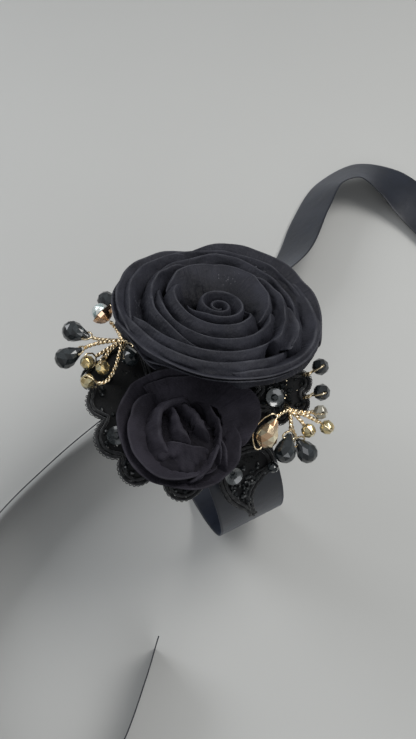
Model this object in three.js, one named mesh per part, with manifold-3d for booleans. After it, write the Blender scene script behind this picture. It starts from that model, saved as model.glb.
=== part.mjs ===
// Wrist corsage: two folded-ribbon roses, beaded lace and two wired bead sprays on a tied satin ribbon.
// Millimetres, +Z up. The origin is the seat on the back of the wrist, the middle of the ribbon's inner
// face at its top. +X runs along the forearm, +Z out of the wrist, and -Y towards the small rose.
import * as THREE from 'three';
import { mergeVertices } from 'three/addons/utils/BufferGeometryUtils.js';
import Module from 'manifold-3d';

// Driving dimensions
const wristRadius = 33;
const ribbonWidth = 20;
const ribbonThickness = 0.4;
const clearance = 0.3;
const layerGap = 0.5;
const padThickness = 1.2;
const padHalfLength = 17;
const padHalfReach = 28;
const laceThickness = 0.7;
const laceCord = 0.6;
const petalThickness = 0.95;
const bigRoseRadius = 27.2;
const bigRoseHeight = 12.3;
const smallRoseRadius = 17.4;
const smallRoseHeight = 6.7;
const wireWidth = 0.5;
const stemWidth = 1.0;
const trunkWidth = 1.5;
const drilledHole = 1.0;
const teardropLength = 8;
const teardropWidth = 5.8;
const goldBeadWidth = 4;
const blackBeadWidth = 4.6;
const pearLength = 7.4;
const pearWidth = 5.4;
const crystalWidth = 5;
const cupWall = 0.45;
const sewnBeadWidth = 3.2;
const sequinWidth = 4.8;
const sequinThickness = 0.3;
const knotRadius = 4;
const knotLength = 11;
const knotPhi = -125;
const gatheredWidth = 9;

// Layers from the wrist outwards
const ribbonOuter = wristRadius + ribbonThickness;
const padInner = ribbonOuter + layerGap;
const padOuter = padInner + padThickness;
const laceInner = padOuter + layerGap;
const laceOuter = laceInner + laceThickness;
const laceRim = laceOuter + laceCord;
const roseSeat = laceRim + clearance / 2;
const skinSeat = wristRadius + 3 * clearance;
const floorLevel = -2 * wristRadius - ribbonThickness;

const wasm = await Module();
wasm.setup();

const rad = THREE.MathUtils.degToRad;
const lerp = THREE.MathUtils.lerp;
const turn = 2 * Math.PI;
const upAxis = new THREE.Vector3(0, 0, 1);

// A point at x along the forearm, phi degrees round the wrist from the top to the front, r from its axis.
function onWrist(x, phi, r) {
  const angle = rad(phi);
  return new THREE.Vector3(x, -r * Math.sin(angle), r * Math.cos(angle) - wristRadius);
}

function signedVolume(positions, indices) {
  const [a, b, c] = [new THREE.Vector3(), new THREE.Vector3(), new THREE.Vector3()];
  let sum = 0;
  for (let i = 0; i < indices.length; i += 3) {
    a.fromArray(positions, 3 * indices[i]);
    b.fromArray(positions, 3 * indices[i + 1]);
    c.fromArray(positions, 3 * indices[i + 2]);
    sum += a.dot(b.cross(c));
  }
  return sum;
}

function solidFrom(points, indices) {
  const positions = points.flatMap((point) => point.toArray());
  if (signedVolume(positions, indices) < 0) {
    indices.reverse();
  }
  const geometry = new THREE.BufferGeometry();
  geometry.setAttribute('position', new THREE.Float32BufferAttribute(positions, 3));
  geometry.setIndex(indices);
  geometry.computeVertexNormals();
  return geometry;
}

// Joins rings of points into a closed skin. A ring of one point is a pole. An open end is closed by a
// strip between its two long sides, and a closed loft joins its last ring to its first. The two long
// sides of a thin section are split along matching diagonals, so that a twisted wall keeps its thickness.
function loft(rings, closed = false) {
  const points = rings.flat();
  const starts = [];
  let count = 0;
  for (const ring of rings) {
    starts.push(count);
    count += ring.length;
  }
  const indices = [];
  const spans = closed ? rings.length : rings.length - 1;
  for (let i = 0; i < spans; i += 1) {
    const j = (i + 1) % rings.length;
    const sides = Math.max(rings[i].length, rings[j].length);
    for (let k = 0; k < sides; k += 1) {
      const next = (k + 1) % sides;
      const [a, b] = rings[i].length === 1 ? [starts[i], starts[i]] : [starts[i] + k, starts[i] + next];
      const [c, d] = rings[j].length === 1 ? [starts[j], starts[j]] : [starts[j] + k, starts[j] + next];
      const mirrored = 2 * k >= sides;
      if (a !== b) {
        indices.push(a, b, mirrored ? c : d);
      }
      if (c !== d) {
        indices.push(mirrored ? b : a, d, c);
      }
    }
  }
  if (!closed) {
    closeEnd(indices, starts[0], rings[0].length, false);
    closeEnd(indices, starts.at(-1), rings.at(-1).length, true);
  }
  return solidFrom(points, indices);
}

function closeEnd(indices, start, sides, last) {
  for (let k = 0; k < sides / 2 - 1; k += 1) {
    const [a, b] = [start + k, start + k + 1];
    const [c, d] = [start + sides - 2 - k, start + sides - 1 - k];
    const faces = last ? [[a, b, c], [a, c, d]] : [[a, c, b], [a, d, c]];
    for (const face of faces) {
      if (new Set(face).size === 3) {
        indices.push(...face);
      }
    }
  }
}

// A round body: [distance along, radius] pairs from pole to pole about a direction from a point.
function turned(origin, along, side, profile, sides) {
  const across = new THREE.Vector3().crossVectors(along, side);
  const rings = profile.map(([distance, radius]) => {
    const centre = origin.clone().addScaledVector(along, distance);
    if (radius === 0) {
      return [centre];
    }
    return Array.from({ length: sides }, (_, k) => {
      const angle = (turn * k) / sides;
      return centre.clone().addScaledVector(side, radius * Math.cos(angle))
        .addScaledVector(across, radius * Math.sin(angle));
    });
  });
  return loft(rings);
}

// A round wire of the given radius along points. The normal keeps the section from twisting.
function wire(points, radius, sides, normal, closed = false) {
  const total = points.length;
  const rings = points.map((point, i) => {
    const before = closed ? points[(i + total - 1) % total] : points[Math.max(i - 1, 0)];
    const after = closed ? points[(i + 1) % total] : points[Math.min(i + 1, total - 1)];
    const along = after.clone().sub(before).normalize();
    const side = new THREE.Vector3().crossVectors(along, normal).normalize();
    const up = new THREE.Vector3().crossVectors(side, along);
    return Array.from({ length: sides }, (_, k) => {
      const angle = (turn * (k + 0.5)) / sides;
      return point.clone().addScaledVector(side, radius * Math.cos(angle))
        .addScaledVector(up, radius * Math.sin(angle));
    });
  });
  return loft(rings, closed);
}

function toManifold(geometry) {
  const bare = new THREE.BufferGeometry();
  bare.setAttribute('position', geometry.getAttribute('position').clone());
  bare.setIndex(geometry.getIndex().clone());
  const merged = mergeVertices(bare);
  return new wasm.Manifold(new wasm.Mesh({
    numProp: 3,
    vertProperties: new Float32Array(merged.getAttribute('position').array),
    triVerts: new Uint32Array(merged.getIndex().array),
  }));
}

function fromManifold(solid) {
  const mesh = solid.getMesh();
  const geometry = new THREE.BufferGeometry();
  geometry.setAttribute('position', new THREE.BufferAttribute(mesh.vertProperties, 3));
  geometry.setIndex(new THREE.BufferAttribute(mesh.triVerts, 1));
  geometry.computeVertexNormals();
  return geometry;
}

function joined(geometries) {
  return fromManifold(geometries.map(toManifold).reduce((sum, part) => sum.add(part)));
}

function cut(geometry, tool) {
  return fromManifold(toManifold(geometry).subtract(toManifold(tool)));
}

function finish(colour, roughness, metalness = 0) {
  return new THREE.MeshStandardMaterial({ color: colour, roughness, metalness, flatShading: true });
}

const satin = finish(0x1c1d20, 0.42);
const roseSatin = finish(0x222226, 0.7);
const chiffon = finish(0x1b1a1f, 0.85);
const felt = finish(0x101011, 0.95);
const lace = finish(0x131416, 0.8);
const jet = finish(0x1d2425, 0.12);
const goldGlass = finish(0xb7a56c, 0.15, 0.6);
const smokyGlass = finish(0x8d8877, 0.12, 0.2);
const champagne = finish(0xa8794a, 0.1, 0.1);
const aurora = finish(0xb8c8c8, 0.08, 0.3);
const roseGold = finish(0xc9946c, 0.25, 1);
const goldWire = finish(0xe2c08a, 0.28, 1);

const corsage = new THREE.Group();

function add(name, geometry, material) {
  const mesh = new THREE.Mesh(geometry, material);
  mesh.name = name;
  corsage.add(mesh);
}

// Ribbon round the wrist. Its facets are centred on whole steps, so that one lies flat at the seat.
const bandStep = 7.5;
const bandEnd = THREE.MathUtils.radToDeg(Math.asin((0.5 * knotRadius) / wristRadius));
const pinchReach = 30;

function bandHalfWidth(phi) {
  const toKnot = Math.min(phi - knotPhi, knotPhi + 360 - phi);
  const open = THREE.MathUtils.smoothstep(toKnot, bandEnd, pinchReach);
  return lerp(gatheredWidth, ribbonWidth, open) / 2;
}

function ribbonBand() {
  const first = knotPhi + bandEnd;
  const last = knotPhi + 360 - bandEnd;
  const stations = [first];
  for (let k = Math.ceil(first / bandStep); k * bandStep < last - bandStep; k += 1) {
    stations.push((k + 0.5) * bandStep);
  }
  stations.push(last);
  const corner = 1 / Math.cos(rad(bandStep / 2));
  const rings = stations.map((phi) => {
    const half = bandHalfWidth(phi);
    const inner = wristRadius * corner;
    const outer = ribbonOuter * corner;
    return [onWrist(-half, phi, inner), onWrist(half, phi, inner), onWrist(half, phi, outer),
      onWrist(-half, phi, outer)];
  });
  return loft(rings);
}

// Knot: a short rolled barrel over the meeting ends, thicker at its middle.
const knotCentre = ribbonOuter + clearance + knotRadius;
const knotShares = [[-0.5, 0], [-0.5, 0.72], [-0.3, 0.95], [0, 1], [0.3, 0.93], [0.5, 0.7], [0.5, 0]];

function ribbonKnot() {
  const origin = onWrist(0, knotPhi, knotCentre);
  const outward = onWrist(0, knotPhi, 1).sub(onWrist(0, knotPhi, 0));
  const profile = knotShares.map(([along, radius]) => [along * knotLength, radius * knotRadius]);
  return turned(origin, new THREE.Vector3(1, 0, 0), outward, profile, 12);
}

// Ribbon tails leave the knot's ends and stand on one edge. A station is [x, y, height, then the
// direction across the ribbon]: places as shares of the ribbon's width, with the height of its middle
// above the table.
const rightTailShares = [
  [1.15, 1.9, 0.56, -0.1, -0.5, 0.85],
  [2.3, 2.5, 0.5, 0.12, -0.56, 0.82],
  [3.3, 2.95, 0.45, 0.38, -0.6, 0.7],
  [4.15, 3.7, 0.43, 0.4, -0.62, 0.66],
  [4.88, 4.2, 0.45, 0.1, -0.75, 0.65],
  [5.52, 4.14, 0.52, -0.4, -0.8, 0.5],
  [5.96, 3.66, 0.4, -0.8, -0.55, 0.25],
  [6.17, 3.05, 0.22, -0.95, -0.3, 0.08],
  [6.27, 2.4, 0.15, -0.98, -0.16, 0.05],
  [6.32, 1.7, 0.13, -0.98, -0.1, 0.05],
];
const leftTailShares = [
  [-1.1, 1.42, 0.56, -0.06, -0.51, 0.86],
  [-2.25, 1.1, 0.5, 0.03, -0.49, 0.87],
  [-3.6, 0.5, 0.5, 0.13, -0.45, 0.88],
  [-4.75, -0.5, 0.5, 0.22, -0.38, 0.9],
  [-5.3, -1.9, 0.5, 0.27, -0.28, 0.92],
  [-4.9, -3.3, 0.5, 0.25, -0.18, 0.95],
  [-3.9, -3.9, 0.5, 0.17, -0.13, 0.98],
  [-3.0, -3.4, 0.5, 0.1, -0.17, 0.98],
  [-2.35, -2.78, 0.5, 0.05, -0.22, 0.97],
  [-1.96, -2.35, 0.5, 0.01, -0.26, 0.97],
];
const tailSteps = 38;
const tailGatherShare = 0.1;
const tailExitLean = new THREE.Vector3(0, -0.5, 0.86);

function ribbonTail(stations, side) {
  const exit = onWrist(side * (knotLength / 2 + 1.2 * clearance), knotPhi, knotCentre);
  const straight = exit.clone().setX(exit.x + (side * gatheredWidth) / 2);
  const places = stations.map(([x, y, height]) => new THREE.Vector3(x * ribbonWidth, y * ribbonWidth,
    floorLevel + height * ribbonWidth));
  const leans = stations.map(([, , , x, y, z]) => new THREE.Vector3(x, y, z));
  const route = new THREE.CatmullRomCurve3([exit, straight, ...places], false, 'centripetal');
  const lean = new THREE.CatmullRomCurve3([tailExitLean, tailExitLean, ...leans], false, 'catmullrom');
  const rings = Array.from({ length: tailSteps + 1 }, (_, i) => {
    const share = i / tailSteps;
    const middle = route.getPoint(share);
    const along = route.getTangent(share);
    const across = lean.getPoint(share);
    across.addScaledVector(along, -across.dot(along)).normalize();
    const normal = new THREE.Vector3().crossVectors(along, across);
    const open = THREE.MathUtils.smoothstep(share, 0, tailGatherShare);
    const half = lerp(gatheredWidth, ribbonWidth, open) / 2;
    const corners = [[-1, -1], [1, -1], [1, 1], [-1, 1]];
    return corners.map(([wide, thick]) => middle.clone().addScaledVector(across, wide * half)
      .addScaledVector(normal, (thick * ribbonThickness) / 2));
  });
  return loft(rings);
}

add('ribbon_band', ribbonBand(), satin);
add('ribbon_knot', ribbonKnot(), satin);
add('ribbon_tail_right', ribbonTail(rightTailShares, 1), satin);
add('ribbon_tail_left', ribbonTail(leftTailShares, -1), satin);

// A plate that follows the wrist: an outline in [along, around] lengths about a centre, and a profile
// of [share of the outline, distance from the wrist's axis] from the middle of one face to the other's.
function wrapped(x, phi, outlineAt, profile, sides, closed = false) {
  const rings = profile.map(([share, r]) => {
    if (share === 0) {
      return [onWrist(x, phi, r)];
    }
    return Array.from({ length: sides }, (_, k) => {
      const [along, around] = outlineAt((turn * k) / sides);
      return onWrist(x + share * along, phi + THREE.MathUtils.radToDeg((share * around) / laceInner), r);
    });
  });
  return loft(rings, closed);
}

const padPhi = 10;
const padShares = [0.3, 0.6, 0.85];

function feltPad() {
  const outline = (t) => [padHalfLength * Math.cos(t), padHalfReach * Math.sin(t)];
  const inner = padShares.map((share) => [share, padInner]);
  const outer = padShares.map((share) => [share, padOuter]).reverse();
  const profile = [[0, padInner], ...inner, [1, padInner], [1, padOuter], ...outer, [0, padOuter]];
  return wrapped(0, padPhi, outline, profile, 28);
}

// Lace plates have a raised corded rim. Lobes are [along, around, radius] shares of a motif's size.
const laceShares = [0.3, 0.6, 0.78];
const laceRimShare = 0.88;

function lacePlate(x, phi, outline, sides) {
  const under = laceShares.map((share) => [share, laceInner]);
  const over = laceShares.map((share) => [share, laceOuter]).reverse();
  const profile = [[0, laceInner], ...under, [1, laceInner], [1, laceRim], [laceRimShare, laceRim], ...over,
    [0, laceOuter]];
  return wrapped(x, phi, outline, profile, sides);
}

// The far reach of a ray from the centre at angle t through a set of round lobes.
function lobeReach(t, lobes, size, coreShare) {
  let reach = coreShare * size;
  for (const [along, around, radius] of lobes) {
    const forward = along * Math.cos(t) + around * Math.sin(t);
    const aside = -along * Math.sin(t) + around * Math.cos(t);
    if (forward > 0 && Math.abs(aside) < radius) {
      reach = Math.max(reach, size * (forward + Math.sqrt(radius * radius - aside * aside)));
    }
  }
  return reach;
}

const spreadSize = 0.455 * wristRadius;
const spreadX = -0.424 * wristRadius;
const spreadPhi = 22;
const spreadShares = [[-0.72, -0.78, 0.34], [-0.83, -0.12, 0.36], [-0.72, 0.46, 0.32], [-0.1, 1.04, 0.36]];
const rosetteSize = 0.242 * wristRadius;
const rosetteX = 0.521 * wristRadius;
const rosettePhi = 31;
const rosetteLobes = 6;
const rosetteLobeShares = [0.68, 0.38];
const leafSize = 0.424 * wristRadius;
const leafX = -0.067 * wristRadius;
const leafPhi = 60;
const leafShares = [
  [0.73, 0], [0.76, -0.14], [0.76, -0.33], [0.64, -0.54], [0.37, -0.64], [0.09, -0.66], [-0.11, -0.58],
  [-0.26, -0.44], [-0.34, -0.26], [-0.36, -0.06], [-0.34, 0.11], [-0.31, 0.26], [-0.22, 0.46], [-0.09, 0.67],
  [0.02, 0.91], [0.09, 1], [0.13, 0.8], [0.13, 0.64], [0.15, 0.46], [0.21, 0.32], [0.3, 0.22], [0.42, 0.14],
  [0.57, 0.06],
];

function lobedLace(x, phi, lobes, size, coreShare, sides) {
  const outline = (t) => {
    const reach = lobeReach(t, lobes, size, coreShare);
    return [reach * Math.cos(t), reach * Math.sin(t)];
  };
  return lacePlate(x, phi, outline, sides);
}

function leafOutline(t) {
  const corner = Math.round((leafShares.length * t) / turn) % leafShares.length;
  return leafShares[corner].map((share) => share * leafSize);
}

const rosetteShares = Array.from({ length: rosetteLobes }, (_, k) => {
  const angle = (turn * k) / rosetteLobes;
  const [reach, radius] = rosetteLobeShares;
  return [reach * Math.cos(angle), reach * Math.sin(angle), radius];
});

// A cup sequin: a ring that rises from its sewn middle to its edge.
const sequinShares = [[0.22, 0], [1, 0.9], [1, 1.9], [0.22, 1]];

function sequin(x, phi) {
  const outline = (t) => [(sequinWidth / 2) * Math.cos(t), (sequinWidth / 2) * Math.sin(t)];
  const seat = laceRim + clearance;
  const profile = sequinShares.map(([share, rise]) => [share, seat + rise * sequinThickness]);
  return wrapped(x, phi, outline, profile, 10, true);
}

add('felt_pad', feltPad(), felt);
add('lace_spread', lobedLace(spreadX, spreadPhi, spreadShares, spreadSize, 0.5, 40), lace);
add('lace_rosette', lobedLace(rosetteX, rosettePhi, rosetteShares, rosetteSize, 0.5, 36), lace);
add('lace_leaf', lacePlate(leafX, leafPhi, leafOutline, leafShares.length), lace);
add('sequin_left', sequin(spreadX + spreadShares[1][0] * spreadSize, spreadPhi - 3), jet);
add('sequin_rosette', sequin(rosetteX - rosetteSize / 3, rosettePhi + 1), jet);
add('sequin_leaf', sequin(leafX - leafSize / 12, leafPhi - 6), jet);

const laceEdge = rosetteX + rosetteSize;

// A rose's own frame: its middle in the plane of its rim, the way it faces, its two side directions, and
// the height of the petals' feet.
class RoseFrame {
  constructor(centre, facing, size, footShare) {
    this.centre = centre;
    this.size = size;
    this.footLevel = footShare * size;
    this.facing = facing.clone().normalize();
    const right = new THREE.Vector3(1, 0, 0);
    this.right = right.addScaledVector(this.facing, -right.dot(this.facing)).normalize();
    this.back = new THREE.Vector3().crossVectors(this.facing, this.right);
  }

  place(u, v, height) {
    return this.centre.clone().addScaledVector(this.right, u).addScaledVector(this.back, v)
      .addScaledVector(this.facing, height);
  }

  at(radius, angle, height) {
    return this.place(radius * Math.cos(angle), radius * Math.sin(angle), height);
  }

  // The lowest height over a place that clears the lace or the bare wrist.
  seatOver(u, v) {
    const start = this.place(u, v, 0);
    const [ny, nz] = [this.facing.y, this.facing.z];
    const z = start.z + wristRadius;
    const a = ny * ny + nz * nz;
    const b = start.y * ny + z * nz;
    let height = 0;
    for (let pass = 0; pass < 3; pass += 1) {
      const beyond = Math.abs(start.x + this.facing.x * height);
      const bare = THREE.MathUtils.smoothstep(beyond, laceEdge, laceEdge + padThickness * 3);
      const reach = lerp(roseSeat, skinSeat, bare);
      const inside = b * b - a * (start.y * start.y + z * z - reach * reach);
      height = inside < 0 ? -wristRadius : (Math.sqrt(inside) - b) / a;
    }
    return height;
  }

  seat(radius, angle) {
    return this.seatOver(radius * Math.cos(angle), radius * Math.sin(angle));
  }
}

// One petal of folded ribbon: a curved wall with a rolled lip. It winds outwards as it goes round, so
// that its end lies outside the start of the next. Sizes in `ring` are shares of the rose's radius, and
// each rung has its share of the height and of the thickness inside and outside the wall's middle.
const petalRungShares = [[0, 0.5, 0.5], [0.35, 0.5, 0.5], [0.68, 0.5, 0.5], [0.88, 0.5, 0.75],
  [1, 0.3, 0.35]];
const steepest = 0.25;

function petalSection(frame, ring, share, angle, ripple) {
  const size = frame.size;
  const lift = ring.lift * Math.sin(Math.PI * share);
  const lipRadius = size * (ring.lip + ring.wind * (share - 0.5) + ripple + lift / 3);
  const lipHeight = size * (ring.height - ring.drop * Math.abs(2 * share - 1) ** 3 + ripple + lift);
  const lowest = Math.max(lipHeight - size * (ring.wall + lift), frame.footLevel);
  const room = lipHeight - Math.max(lowest, frame.seat(lipRadius - size * ring.lean, angle) + clearance);
  const lean = size * ring.lean * THREE.MathUtils.clamp(room / (lipHeight - lowest), steepest, 1);
  const footRadius = lipRadius - lean;
  const foot = Math.max(lowest, frame.seat(footRadius, angle) + clearance);
  const top = Math.max(lipHeight, foot + 2 * petalThickness,
    frame.seat(lipRadius, angle) + clearance + petalThickness);
  return petalRungShares.map(([rung]) => [lerp(footRadius, lipRadius, rung ** ring.flare),
    lerp(foot, top, rung)]);
}

function petal(frame, ring, startTurn, steps) {
  const rings = Array.from({ length: steps + 1 }, (_, i) => {
    const share = i / steps;
    const angle = -turn * (startTurn + share * ring.span);
    const ripple = ring.ripple * Math.sin(turn * (ring.waves * share + startTurn * 3));
    const line = petalSection(frame, ring, share, angle, ripple);
    const inner = [];
    const outer = [];
    line.forEach(([radius, height], j) => {
      const [r0, h0] = line[Math.max(j - 1, 0)];
      const [r1, h1] = line[Math.min(j + 1, line.length - 1)];
      const run = Math.hypot(r1 - r0, h1 - h0);
      const [nr, nh] = [(petalThickness * (h1 - h0)) / run, (petalThickness * (r0 - r1)) / run];
      const [, within, beyond] = petalRungShares[j];
      inner.push(frame.at(radius - within * nr, angle, height - within * nh));
      outer.push(frame.at(radius + beyond * nr, angle, height + beyond * nh));
    });
    return [...inner, ...outer.reverse()];
  });
  return loft(rings);
}

// The coiled middle of a rose: one strip wound outwards over `turns` turns.
function bud(frame, coil, steps) {
  const half = petalThickness / 2;
  const rings = Array.from({ length: steps + 1 }, (_, i) => {
    const share = i / steps;
    const angle = -turn * (coil.start + share * coil.turns);
    const lipRadius = frame.size * lerp(coil.inner, coil.outer, share);
    const top = frame.size * (coil.height + coil.dip * share);
    const footRadius = lipRadius * coil.taper;
    const foot = Math.max(frame.footLevel, frame.seat(footRadius, angle) + clearance);
    const shoulder = lerp(foot, top, coil.shoulder);
    const middle = lerp(footRadius, lipRadius, coil.shoulder);
    return [
      frame.at(footRadius - half, angle, foot), frame.at(middle - half, angle, shoulder),
      frame.at(lipRadius - half, angle, top), frame.at(lipRadius, angle, top + half),
      frame.at(lipRadius + half, angle, top), frame.at(lipRadius + half, angle, top - half),
      frame.at(middle + half, angle, shoulder), frame.at(footRadius + half, angle, foot),
    ];
  });
  return loft(rings);
}

// The gathered foot under a rose fills the wedge between the seat and the petals' feet, on the side
// where the rose tilts away from the wrist.
const footSides = 18;

function roseFoot(frame, [alongShare, backShare], reachShare) {
  const size = frame.size;
  const [middleU, middleV] = [alongShare * size, backShare * size];
  const roofLevel = frame.footLevel - clearance;
  const placeOf = (r, angle) => [middleU + r * Math.cos(angle), middleV + r * Math.sin(angle)];
  const floorAt = (r, angle) => frame.seatOver(...placeOf(r, angle)) + clearance;
  const outline = Array.from({ length: footSides }, (_, k) => {
    const angle = (turn * k) / footSides;
    let reach = 0;
    const fits = (r) => roofLevel - floorAt(r, angle) > petalThickness
      && Math.hypot(...placeOf(r, angle)) < reachShare * size;
    while (fits(reach + petalThickness / 2)) {
      reach += petalThickness / 2;
    }
    return [angle, reach];
  });
  const ringAt = (share, heightAt) => outline.map(([angle, reach]) => {
    const [u, v] = placeOf(share * reach, angle);
    return frame.place(u, v, heightAt(share * reach, angle));
  });
  const roofAt = () => roofLevel;
  const pole = (heightAt) => [frame.place(middleU, middleV, heightAt(0, 0))];
  return loft([pole(floorAt), ringAt(0.5, floorAt), ringAt(1, floorAt), ringAt(1, roofAt), pole(roofAt)]);
}

const bigRose = new RoseFrame(
  new THREE.Vector3(0.42 * bigRoseRadius, 0.17 * bigRoseRadius, bigRoseHeight),
  new THREE.Vector3(0.366, 0.193, 0.91), bigRoseRadius, -0.33);
const bigBudShares = { start: 0.1, turns: 2.3, inner: 0.05, outer: 0.29, height: 0.05, dip: -0.015,
  taper: 0.8, shoulder: 0.55 };
const bigRingShares = [
  { name: 'heart', count: 3, span: 0.42, phase: 0.42, lip: 0.43, wind: 0.1, height: 0.03, lean: 0.08,
    wall: 0.36, flare: 1.4, drop: 0.05, ripple: 0, waves: 1 },
  { name: 'inner', count: 4, span: 0.32, phase: 0.13, lip: 0.61, wind: 0.1, height: 0.015, lean: 0.1,
    wall: 0.34, flare: 1.4, drop: 0.06, ripple: 0.003, waves: 2 },
  { name: 'middle', count: 4, span: 0.32, phase: 0.27, lip: 0.79, wind: 0.106, height: -0.01, lean: 0.13,
    wall: 0.32, flare: 1.4, drop: 0.07, ripple: 0.004, waves: 2 },
  { name: 'outer', count: 3, span: 0.42, phase: 0.02, lip: 0.95, wind: 0.105, height: -0.06, lean: 0.13,
    wall: 0.27, flare: 1.4, drop: 0.05, ripple: 0.004, waves: 3, lifts: [0, 0, 0.18] },
];
const bigSkirtShares = { name: 'skirt', count: 2, span: 0.3, phase: 0.14, step: 0.27, lip: 1.03, wind: 0.075,
  height: -0.2, lean: 0.075, wall: 0.14, flare: 1.3, drop: 0.03, ripple: 0.003, waves: 2 };

const smallRose = new RoseFrame(
  new THREE.Vector3(-0.59 * smallRoseRadius, -1.21 * smallRoseRadius, smallRoseHeight),
  new THREE.Vector3(0.33, 0.015, 0.944), smallRoseRadius, -0.5);
const smallBudShares = { start: 0.3, turns: 1.7, inner: 0.07, outer: 0.34, height: -0.22, dip: 0.06,
  taper: 0.85, shoulder: 0.6 };
const smallRingShares = [
  { name: 'inner', count: 3, span: 0.43, phase: 0.2, lip: 0.54, wind: 0.15, height: -0.06, lean: 0.08,
    wall: 0.5, flare: 1.3, drop: 0.09, ripple: 0.005, waves: 2 },
  { name: 'outer', count: 4, span: 0.32, phase: 0.06, lip: 0.88, wind: 0.17, height: 0, lean: 0.2,
    wall: 0.5, flare: 1.4, drop: 0.1, ripple: 0.01, waves: 2 },
];
const budStepsPerTurn = 14;
const petalStepsPerTurn = 26;

function addRose(name, frame, coil, rings, material) {
  add(`${name}_bud`, bud(frame, coil, Math.round(budStepsPerTurn * coil.turns)), material);
  for (const ring of rings) {
    for (let k = 0; k < ring.count; k += 1) {
      const start = ring.phase + k * (ring.step ?? 1 / ring.count);
      const shape = { ...ring, lift: ring.lifts?.[k] ?? 0 };
      const solid = petal(frame, shape, start, Math.round(petalStepsPerTurn * ring.span));
      add(`${name}_${ring.name}_petal_${k + 1}`, solid, material);
    }
  }
}

addRose('big_rose', bigRose, bigBudShares, [...bigRingShares, bigSkirtShares], roseSatin);
add('big_rose_foot', roseFoot(bigRose, [-0.26, 0.16], 0.44), felt);
addRose('small_rose', smallRose, smallBudShares, smallRingShares, chiffon);
add('small_rose_foot', roseFoot(smallRose, [-0.25, 0], 0.6), felt);

// Bead places are [along, degrees round, height]: along and height as shares of the wrist's radius,
// and the height is counted from the corded rim of the lace.
function beadPlace([along, phi, rise]) {
  return onWrist(along * wristRadius, phi, laceRim + rise * wristRadius);
}

function beadFrame(place, towards) {
  const origin = beadPlace(place);
  const along = beadPlace(towards).sub(origin).normalize();
  const outward = new THREE.Vector3(0, origin.y, origin.z + wristRadius).normalize();
  const side = new THREE.Vector3().crossVectors(along, outward).normalize();
  const up = new THREE.Vector3().crossVectors(side, along);
  return { origin, along, side, up };
}

const wireSides = 5;
const holeSides = 6;

function loopOf(frame, across, normal, outlineShares) {
  const points = outlineShares.map(([a, b]) => frame.origin.clone().addScaledVector(frame.along, a)
    .addScaledVector(across, b));
  return wire(points, wireWidth / 2, wireSides, normal, true);
}

function drilled(body, frame, axis, reach) {
  const start = frame.origin.clone().addScaledVector(axis, -reach);
  const side = axis === frame.along ? frame.side : frame.along;
  const profile = [[0, 0], [0, drilledHole / 2], [2 * reach, drilledHole / 2], [2 * reach, 0]];
  return cut(body, turned(start, axis, side, profile, holeSides));
}

// A faceted drop that hangs by a hole across its narrow end, and the wire bail through the hole.
const dropShares = [[-0.16, 0], [-0.16, 0.24], [0.04, 0.5], [0.34, 0.9], [0.52, 1], [0.72, 0.78], [0.84, 0.3],
  [0.84, 0]];
const dropSides = 8;

function makeDrop(frame, scale) {
  const profile = dropShares.map(([a, r]) => [a * teardropLength * scale, (r * teardropWidth * scale) / 2]);
  const body = turned(frame.origin, frame.along, frame.side, profile, dropSides);
  const out = teardropWidth * scale * 0.25 + clearance + wireWidth / 2;
  const back = teardropLength * scale * 0.16 + clearance + wireWidth;
  const bail = loopOf(frame, frame.side, frame.up, [[-back, 0], [-0.7 * back, 0.7 * out], [-0.25 * back, out],
    [0, 0.8 * out], [0, -0.8 * out], [-0.25 * back, -out], [-0.7 * back, -0.7 * out]]);
  return { body: drilled(body, frame, frame.side, teardropWidth), bail, back };
}

// A round faceted bead that turns on a wire across it, held by a bail round its inner half.
const roundShares = [[-1, 0], [-1, 0.36], [-0.62, 0.82], [0, 1], [0.62, 0.82], [1, 0.36], [1, 0]];

function makeRound(frame, width) {
  const radius = width / 2;
  const profile = roundShares.map(([a, r]) => [0.94 * a * radius, r * radius]);
  const body = turned(frame.origin, frame.up, frame.side, profile, dropSides);
  const reach = radius + clearance + wireWidth / 2;
  const bail = loopOf(frame, frame.up, frame.side, [[-1.08 * reach, 0], [-0.86 * reach, 0.66 * reach],
    [-0.3 * reach, 1.04 * reach], [0, 0.9 * reach], [0, -0.9 * reach], [-0.3 * reach, -1.04 * reach],
    [-0.86 * reach, -0.66 * reach]]);
  return { body: drilled(body, frame, frame.up, width), bail, back: 1.08 * reach };
}

// A pear crystal drilled from end to end, with its wire bent back round one side.
const pearShares = [[-0.5, 0], [-0.5, 0.22], [-0.2, 0.66], [0.12, 1], [0.32, 0.9], [0.5, 0.42], [0.5, 0]];

function makePear(frame) {
  const profile = pearShares.map(([a, r]) => [a * pearLength, (r * pearWidth) / 2]);
  const body = turned(frame.origin, frame.along, frame.side, profile, dropSides);
  const end = pearLength / 2 + clearance + wireWidth / 2;
  const out = pearWidth / 2 + clearance + wireWidth / 2;
  const bail = loopOf(frame, frame.side, frame.up, [[-end, 0], [end, 0], [1.12 * end, 0.14 * out],
    [1.14 * end, 0.34 * out], [1.02 * end, 0.54 * out], [0.75 * end, 0.84 * out], [0.4 * end, 1.08 * out],
    [-0.1 * end, 1.1 * out], [-0.7 * end, 0.84 * out], [-1.02 * end, 0.54 * out], [-1.14 * end, 0.32 * out],
    [-1.12 * end, 0.12 * out]]);
  return { body: drilled(body, frame, frame.along, pearLength), bail, back: end };
}

// A crystal ball in a stamped cup.
const ballShares = [[-1, 0], [-0.92, 0.4], [-0.5, 0.86], [0, 1], [0.5, 0.86], [0.92, 0.4], [1, 0]];

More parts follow.
